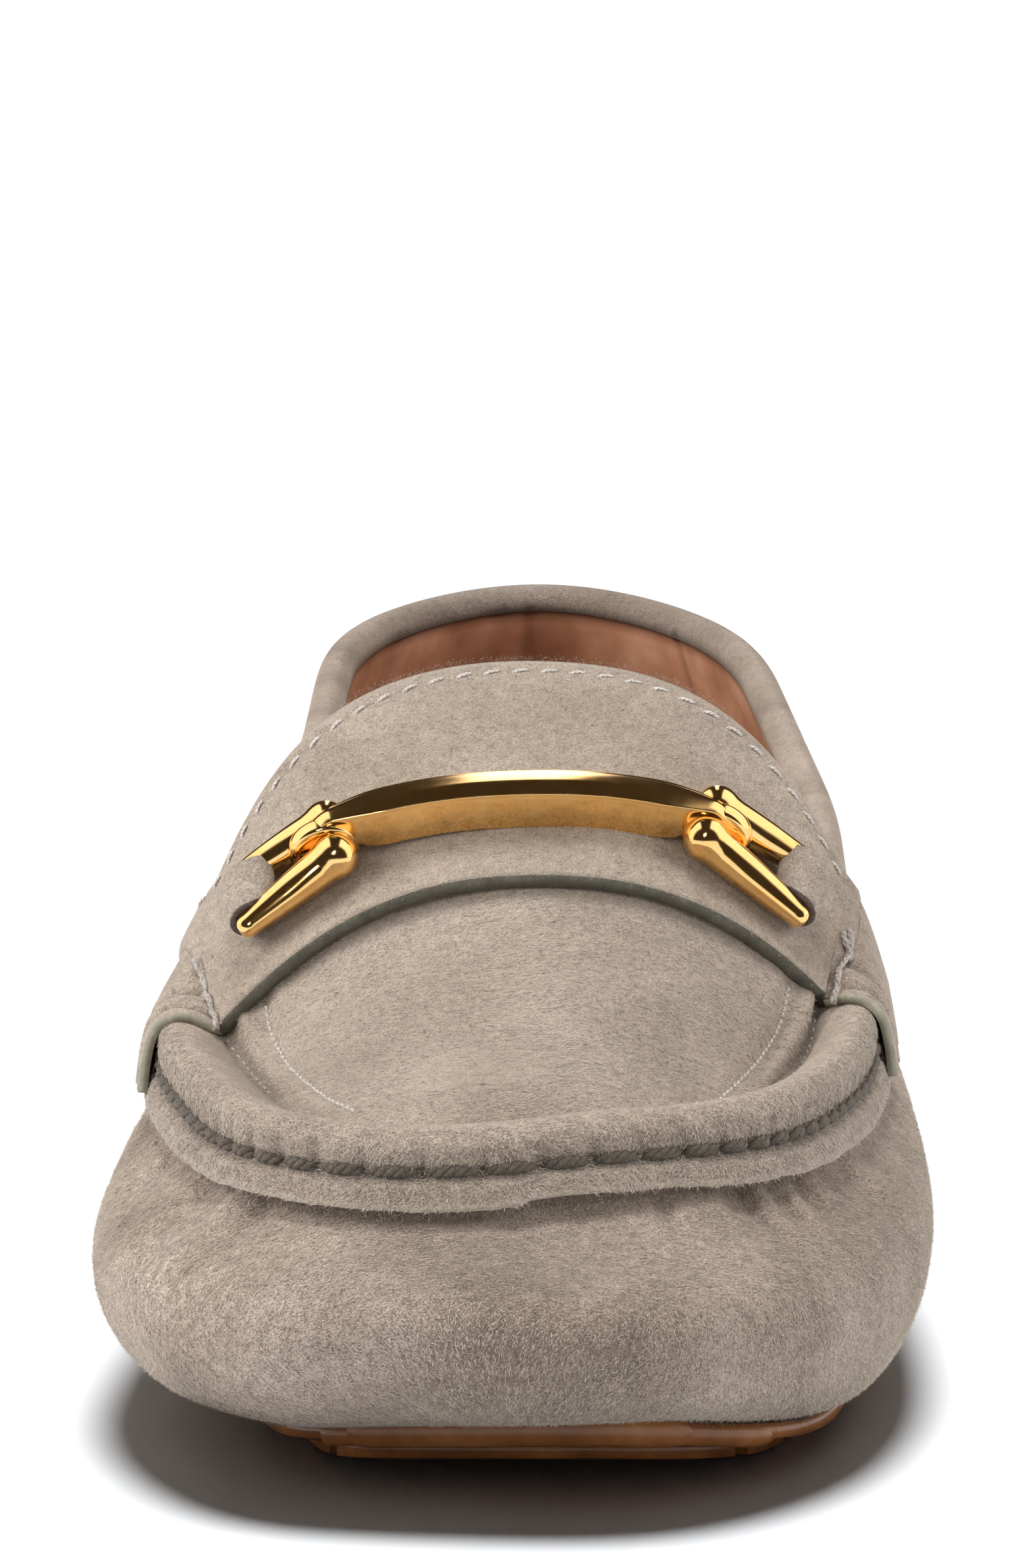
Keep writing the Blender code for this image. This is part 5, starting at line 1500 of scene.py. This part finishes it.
def make_keeper(name, place, skin, edge):
    """The suede tab rolled round a stirrup's outer link, its raw layered end at the front."""
    hole = LINK + KEEPER_PLAY
    half = KEEPER_LENGTH / 2
    lengths = np.linspace(-half, half, 40)
    angles = np.radians(np.linspace(-95, 200, 44))
    outer, inner = [], []
    for reach in lengths:
        swell = smooth((reach + half) / KEEPER_LENGTH)
        radius = hole + KEEPER_FOLD + KEEPER_SWELL * swell
        radius -= KEEPER_PINCH * (1 - smooth((reach + half) / KEEPER_PINCH_OVER))
        tail = 1 + 0.55 * smooth((-angles - 0.4) / 1.2) + 0.5 * smooth((angles - 2.6) / 0.9)
        wavy = 0.10 * MM * wander(angles * 3 * MM + reach, 2.4 * MM, 61)
        ring = radius * tail + wavy
        level, height = ring * np.sin(angles), ring * np.cos(angles)
        height = np.maximum(height, -(hole + KEEPER_FOLD))
        shrink = (ring - KEEPER_FOLD) / ring
        for found, part in ((outer, 1.0), (inner, shrink)):
            plan = place.far_out * (level * part)[:, None] + place.far_up * (height * part)[:, None]
            found.append(place.far + place.far_back * reach + plan)
    points, faces, rim = sheet(np.array(outer), np.array(inner))
    finish = np.zeros(len(faces), int)
    finish[-rim:] = 1
    marks = np.zeros((len(points), 3))
    marks[:, 0] = 0.5
    return piece(f"{name}_suede", (points, faces), [skin, edge], [name], marks, finish)


def make_hand_stitches(wall, apron, thread):
    """The hand-sewn seam: long plied stitches that dive into a hole at each end."""
    bundle = Bundle()
    for first, last in zip(apron.holes[:-1], apron.holes[1:]):
        gone = np.linspace(0, 1, 17)
        path, normals = [], []
        for t in gone:
            place = (first + (last - first) * (0.06 + 0.86 * t)) % wall.period
            point, normal = wall.near_top(place, 0.05 * LIP)
            dive = 1 - np.clip(np.sin(math.pi * t), 0, 1) ** 0.35
            path.append(point[0] + normal[0] * (FIT + SEWN * APRON + 0.55 * MM - 2.1 * MM * dive))
            normals.append(normal[0])
        turns = (last - first) / HAND_TURN
        plied(bundle, path, HAND_THREAD, unit(np.mean(normals, axis=0)), turns=turns, flat=0.7)
    return piece("apron_hand_stitches", bundle.mesh(), [thread], recalc=False)


def row_of_stitches(bundle, points, normals, pitch, length, thread, slant):
    """Short stitches of fine thread along a line on a surface."""
    place = lengths_along(points)
    for start in np.arange(pitch / 2, place[-1] - pitch / 2, pitch):
        path = read_at(start + np.linspace(-0.5, 0.5, 9) * length, place, points)
        up = unit(read_at([start], place, normals)[0])
        across = np.cross(up, unit(path[-1] - path[0]))
        arc = np.linspace(-1, 1, 9)
        path = path + across * (slant * arc)[:, None]
        path = path + up * (thread * (1.1 - 2.6 * arc**4))[:, None]
        plied(bundle, path, thread, up, plies=2, turns=length / FINE_TURN, flat=0.9)


def make_throat_stitches(strap, thread):
    """One row of fine stitches in front of the throat's edge."""
    points, normals = strap.row_from_throat(THROAT_MARGIN)
    keep = abs(points[:, 0]) < 0.80 * half_width()
    points, normals = points[keep] - normals[keep] * 0.2 * MM, normals[keep]
    bundle = Bundle()
    row_of_stitches(bundle, points, normals, THROAT_PITCH, 2.3 * MM, FINE_THREAD, 0.25 * MM)
    return piece("throat_stitches", bundle.mesh(), [thread], recalc=False)


def surface_above(obj):
    """A function that drops plan points onto a piece's top, giving points and normals."""
    data = obj.data
    tree = BVHTree.FromPolygons([v.co for v in data.vertices], [p.vertices[:] for p in data.polygons])
    down = Vector((0, 0, -1))

    def at(plan):
        points, normals = [], []
        for x, y in plan:
            above = Vector((x + CENTRE[0], y + CENTRE[1], 0.2))
            hit, normal, _, _ = tree.ray_cast(above, down)
            if hit is not None:
                points.append(np.array(hit) - CENTRE)
                normals.append(np.array(normal) * (1 if normal.z > 0 else -1))
        return np.array(points), np.array(normals)

    return at


def make_fold_stitches(apron_piece, thread):
    """Fine stitches in the panel's sewn lines, and a sparser row in the plain folds."""
    drop = surface_above(apron_piece)
    bundle = Bundle()
    for side in (-1, 1):
        sewn, plain = polyline(SEWN_FOLDS[side]), polyline(PLAIN_FOLDS[side])[:42]
        for plan, sunk, pitch, length, thick, slant in (
            (sewn, 0.08 * MM, FOLD_PITCH, 0.72 * MM, 0.19 * MM, 0.1 * MM),
            (plain, 0.1 * MM, FOLD_PITCH * 1.5, 0.6 * MM, 0.16 * MM, 0.12 * MM),
        ):
            points, normals = drop(plan)
            row_of_stitches(bundle, points - normals * sunk, normals, pitch, length, thick, slant)
    return piece("panel_stitches", bundle.mesh(), [thread], recalc=False)


def make_whip_stitches(strap_piece, thread):
    """Long whipped stitches of plied thread on each side, where the saddle meets its ear."""
    drop = surface_above(strap_piece)
    bundle = Bundle()
    for side in (-1, 1):
        points, normals = drop(polyline(EAR_SEAMS[side])[:46])
        place = lengths_along(points)
        ahead, up = unit(points[1] - points[0]), unit(normals[len(normals) // 2])
        for start, end, lean, half in WHIP_STITCHES:
            gone = np.linspace(start, end, 19) * MM
            path = read_at(gone, place, points) + np.minimum(gone, 0)[:, None] * ahead
            across = np.cross(up, unit(path[-1] - path[0]))
            arc = np.linspace(-1, 1, 19)
            sway = lean * MM * (arc * 0.6 + 0.5 * (lean > 1) * (1 - arc**2))
            path = path + across * sway[:, None] + up * (0.55 * MM * (1 - 1.5 * arc**4))[:, None]
            plied(bundle, path, half * MM, up, turns=(end - start) * MM / WHIP_TURN, flat=0.85)
    return piece("ear_whip_stitches", bundle.mesh(), [thread], recalc=False)


def fuzz(bundle, points, ways, normals, length, seed, each=5):
    """Loose fibres on an edge, each a thin three-sided blade."""
    chance = np.random.RandomState(seed)
    for point, way, normal in zip(points, ways, normals):
        for _ in range(each):
            root = point + chance.normal(0, 0.25 * MM, 3)
            aim = way * chance.uniform(0.3, 1.0) + normal * chance.uniform(-0.2, 0.7)
            aim = unit(aim + chance.normal(0, 0.35, 3))
            tip = root + aim * length * chance.uniform(0.4, 1.2)
            side = unit(np.cross(tip - root, chance.normal(0, 1, 3))) * FIBRE
            bundle.add(([root - side, root + side, tip], [(0, 1, 2)]))


def make_edge_fuzz(wall, apron, strap, skin):
    """Fibres along the lip, round the sole and on the strap's front and throat edges."""
    bundle = Bundle()
    lip, lip_out = [], []
    for u in np.arange(-118 * MM, 118 * MM, 0.35 * MM):
        point, normal = wall.near_top(u % wall.period, apron.lip_length(u))
        lip.append(point[0] + normal[0] * (FIT + APRON * 0.6 + LIP_FLARE))
        lip_out.append(normal[0])
    lip, lip_out = np.array(lip), np.array(lip_out)
    down = np.cross(unit(np.gradient(lip, axis=0)), lip_out)
    down[down[:, 2] > 0] *= -1
    fuzz(bundle, lip, down, lip_out, 0.75 * MM, 71, each=6)
    u = np.arange(0, wall.period, 0.5 * MM)
    out = np.column_stack([wall.outward(u), np.zeros(len(u))])
    foot = wall.section(u)[:, 3] + out * 0.4 * MM
    fuzz(bundle, foot, out * 0.5 + [0, 0, -0.6], out, 0.9 * MM, 72, each=7)
    dense = np.linspace(0, SADDLE_COLUMNS - 1, 500)
    for row, reach, way, length, seed in (
        (-1, 0.5, (0, 0.9, 0.1), 0.34 * MM, 73),
        (0, 0.7, (0, -0.8, -0.2), 0.36 * MM, 74),
    ):
        both = np.hstack([strap.outer[row], strap.normals[row]])
        both = read_at(dense, np.arange(SADDLE_COLUMNS), both)
        both = both[abs(both[:, 0]) < reach * half_width()]
        fuzz(bundle, both[:, :3], np.tile(way, (len(both), 1)), both[:, 3:], length, seed)
    return piece("edge_fibres", bundle.mesh(), [skin], recalc=False)


def make_nap(name, obj, wanted, count, skin, seed):
    """Loose nap: short fibres that lie along a piece's outer face, all stroked much one way."""
    chance = np.random.RandomState(seed)
    data = obj.data
    data.calc_loop_triangles()
    triangles = [t.vertices[:] for t in data.loop_triangles]
    corners = np.array([v.co[:] for v in data.vertices])[triangles] - CENTRE
    cross = np.cross(corners[:, 1] - corners[:, 0], corners[:, 2] - corners[:, 0])
    area = np.linalg.norm(cross, axis=1)
    weight = area * wanted(corners.mean(axis=1), unit(cross))
    picked = chance.choice(len(corners), count, p=weight / weight.sum())
    a, b = chance.random((2, count, 1))
    a, b = np.where(a + b > 1, 1 - a, a), np.where(a + b > 1, 1 - b, b)
    corners, normal = corners[picked], unit(cross[picked])
    root = corners[:, 0] + a * (corners[:, 1] - corners[:, 0]) + b * (corners[:, 2] - corners[:, 0])
    swirl = 2.2 * wander(root[:, 0] + 0.4 * root[:, 2], 11 * MM, seed) + chance.normal(0, 0.55, count)
    stroke = np.column_stack([np.sin(swirl), np.zeros(count), -np.cos(swirl)])
    stroke = unit(stroke - normal * (stroke * normal).sum(axis=1)[:, None])
    way = unit(stroke + normal * chance.uniform(0.1, 0.75, (count, 1)))
    length = NAP * chance.uniform(0.5, 1.3, (count, 1))
    side = unit(np.cross(way, normal)) * NAP_WIDTH / 2
    points = np.stack([root - side, root + side, root + way * length], axis=1).reshape(-1, 3)
    faces = [tuple(face) for face in np.arange(3 * count).reshape(-1, 3).tolist()]
    marks = np.zeros((3 * count, 3))
    marks[:, 0] = 0.3
    marks[:, 2] = np.repeat(chance.uniform(0, 1, count), 3)
    return piece(name, (points, faces), [skin], marks=marks, recalc=False)


def near_toe(place, normal):
    """Where the wall's nap shows most: its front half, outside, clear of the sole and the collar."""
    front = 1 - smooth((place[:, 1] - at_length(0.34)) / (20 * MM))
    return front * faces_out(place, normal) * (place[:, 2] > 6 * MM)


def faces_out(place, normal):
    """Where a face looks away from the middle of the toe."""
    return (normal[:, :2] * (place[:, :2] - [0, at_length(0.3)])).sum(axis=1) > 0


def roll_and_lip(place, normal):
    """The nap stands up on the roll and along the lip, and is pressed flat on the panel."""
    front = 1 - smooth((place[:, 1] - at_length(STRAP_FRONT[2])) / (4 * MM))
    level = normal[:, 2] > 0.97
    wanted = np.where(abs(normal[:, 2]) < 0.97, 1.0, 0.25)
    return front * np.where(faces_out(place, normal) | level, wanted, 0.05)


# The studio


def make_floor(board):
    data = bpy.data.meshes.new("floor")
    data.from_pydata([(-6, -3, 0), (6, -3, 0), (6, 14, 0), (-6, 14, 0)], [], [(0, 1, 2, 3)])
    data.materials.append(board)
    floor = bpy.data.objects.new("floor", data)
    bpy.context.scene.collection.objects.link(floor)
    return floor


def make_camera():
    """A long lens, low in front of the toe, as the photograph was taken."""
    data = bpy.data.cameras.new("camera")
    data.lens, data.sensor_width = CAMERA_LENS, 36
    camera = bpy.data.objects.new("camera", data)
    bpy.context.scene.collection.objects.link(camera)
    camera.location = CAMERA_PLACE
    pitch, yaw = math.radians(CAMERA_PITCH), math.radians(CAMERA_YAW)
    aim = Vector((math.sin(yaw) * math.cos(pitch), math.cos(yaw) * math.cos(pitch), -math.sin(pitch)))
    camera.rotation_euler = aim.to_track_quat("-Z", "Y").to_euler()
    bpy.context.scene.camera = camera


def softbox(name, place, aim, size, watts):
    """A rectangular lamp that points from its place at its aim."""
    data = bpy.data.lights.new(name, "AREA")
    data.shape, data.size, data.size_y = "RECTANGLE", size[0], size[1]
    data.energy = watts
    light = bpy.data.objects.new(name, data)
    bpy.context.scene.collection.objects.link(light)
    light.location = place
    light.rotation_euler = (Vector(aim) - Vector(place)).to_track_quat("-Z", "Y").to_euler()
    return light


def glossy_tent(tree):
    """What the plated metal mirrors: a dim room, bright panels at both sides, a pale board below,
    a narrow strip above and behind, and one small lamp in front."""
    way = node(tree, "ShaderNodeTexCoord").outputs["Generated"]
    x, y, z = node(tree, "ShaderNodeSeparateXYZ", {"Vector": way}).outputs
    across = node(tree, "ShaderNodeMath", {0: x}, operation="ABSOLUTE").outputs[0]
    lamp = node(tree, "ShaderNodeVectorMath", {0: way, 1: (-0.10, -0.88, 0.47)}, operation="DISTANCE")
    # Each one's light, and the edges it rises over from dark to bright
    panels = (
        ((1.5, 1.45, 1.4, 1), ((across, 0.28, 0.38), (z, 0.99, 0.94), (y, -0.5, -0.3), (y, 0.72, 0.58))),
        ((0.98, 0.92, 0.86, 1), ((z, 0.03, -0.06),)),
        ((3.2, 3.1, 3.0, 1), ((across, 0.08, 0.03), (z, 0.25, 0.32), (z, 0.92, 0.85), (y, 0.0, 0.1))),
        ((18, 18, 17, 1), ((lamp.outputs["Value"], 0.10, 0.06),)),
    )
    colour = srgb("#3a332c")
    for light, edges in panels:
        share = 1.0
        for source, dark, bright in edges:
            rise = node(
                tree, "ShaderNodeMapRange", {"Value": source}, interpolation_type="SMOOTHSTEP",
                From_Min=dark, From_Max=bright,
            ).outputs["Result"]
            share = node(tree, "ShaderNodeMath", {0: share, 1: rise}, operation="MULTIPLY").outputs[0]
        colour = node(tree, "ShaderNodeMix", {0: share, 6: colour, 7: light}, data_type="RGBA").outputs[2]
    return colour


def only_for(light, receiver, state):
    """Lets a light reach only one object, or all but that one."""
    listed = bpy.data.collections.new(light.name + "_receivers")
    listed.objects.link(receiver)
    light.light_linking.receiver_collection = listed
    listed.collection_objects[0].light_linking.link_state = state


def overhead(name, strength):
    """Light from straight above, wide enough for a soft shadow and unseen in the metal."""
    data = bpy.data.lights.new(name, "SUN")
    data.energy, data.angle = strength, math.radians(24)
    lamp = bpy.data.objects.new(name, data)
    bpy.context.scene.collection.objects.link(lamp)
    lamp.visible_glossy = False
    return lamp


def make_studio(floor):
    """Light from above, a big softbox at each side, a weak one in front and a small lamp.

    The left softbox is the stronger. The softboxes and the lamp leave the floor alone and the floor
    has its own share of the overhead light, so it stays white with a deep shadow under the toe.
    """
    world = bpy.data.worlds.new("dim_room")
    bpy.context.scene.world = world
    world.use_nodes = True
    tree = world.node_tree
    ray = node(tree, "ShaderNodeLightPath").outputs["Is Glossy Ray"]
    dim = (0.035, 0.035, 0.037, 1)
    colour = node(
        tree, "ShaderNodeMix", {0: ray, 6: dim, 7: glossy_tent(tree)}, data_type="RGBA"
    ).outputs[2]
    background = tree.nodes["Background"]
    tree.links.new(colour, background.inputs["Color"])
    overhead("overhead", 1.9)
    only_for(overhead("overhead_floor", 2.05), floor, "INCLUDE")
    aim = (0, -0.05, 0.04)
    for name, place, size, watts in (
        ("left_softbox", (-1.35, -0.50, 0.80), (1.0, 1.0), 29),
        ("right_softbox", (1.35, -0.45, 0.75), (1.0, 1.0), 15),
        ("front_softbox", (-0.3, -2.2, 0.9), (1.4, 0.9), 4),
    ):
        light = softbox(name, place, aim, size, watts)
        light.visible_glossy = False
        only_for(light, floor, "EXCLUDE")
    only_for(softbox("small_lamp", (0.0, -1.0, 0.72), aim, (0.05, 0.05), 0.6), floor, "EXCLUDE")
    bpy.context.scene.view_settings.view_transform = "Standard"


make_camera()
wall = Wall()
apron = Apron(wall)
strap = Strap(wall, apron)
round_shoe = wall.section(np.linspace(0, wall.period, 400, endpoint=False))
cad_low, cad_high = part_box("upper")
ring_low, ring_high = round_shoe.min(axis=(0, 1)), round_shoe.max(axis=(0, 1))
CENTRE = (np.array(cad_low) + np.array(cad_high) - ring_low - ring_high) / 2 * np.array([1, 1, 0])

wall_suede = suede("suede_split_buffed", "#b2a194", "#a29283", "#8f7f71")
panel_suede = suede("suede_split_fine", "#aa9c8e", "#a19385", "#97897b")
kid = lining_leather()
ink = edge_paint("edge_ink_burnished", "#57564c", "#68675c", "#7d7a6e")
pale_ink = edge_paint("edge_ink_thin", "#85826f", "#9a9684", "#aeaa9b")
waxed = thread_material("thread_waxed_taupe", "#332d27", "#6b6156", 0.6, 0.05)
silver = thread_material("thread_polyester_pale", "#a79d94", "#e6dfd8", 0.35, 0.3)
whipping = thread_material("thread_polyester_taupe", "#6f655c", "#c9bfb5", 0.38, 0.3)
gum = gum_rubber()
raw = raw_edge()
plated = gold_plate()

upper_piece = make_upper(wall, apron, wall_suede, kid)
apron_piece = make_apron(wall, apron, panel_suede, kid)
strap_piece = make_strap(strap, panel_suede, ink, pale_ink)
make_outsole(wall, gum)
make_sock(wall, kid)
medial, lateral = Stirrup(strap, -1), Stirrup(strap, 1)
for name, place in (("medial", medial), ("lateral", lateral)):
    make_stirrup(f"stirrup_{name}", place, plated)
    make_keeper(f"keeper_{name}", place, panel_suede, raw)
make_bar(strap, medial, lateral, plated)
make_hand_stitches(wall, apron, waxed)
make_throat_stitches(strap, silver)
make_fold_stitches(apron_piece, silver)
make_whip_stitches(strap_piece, whipping)
make_edge_fuzz(wall, apron, strap, wall_suede)
make_nap("wall_nap", upper_piece, near_toe, 110000, wall_suede, 91)
make_nap("apron_nap", apron_piece, roll_and_lip, 60000, wall_suede, 92)
make_studio(make_floor(studio_floor()))
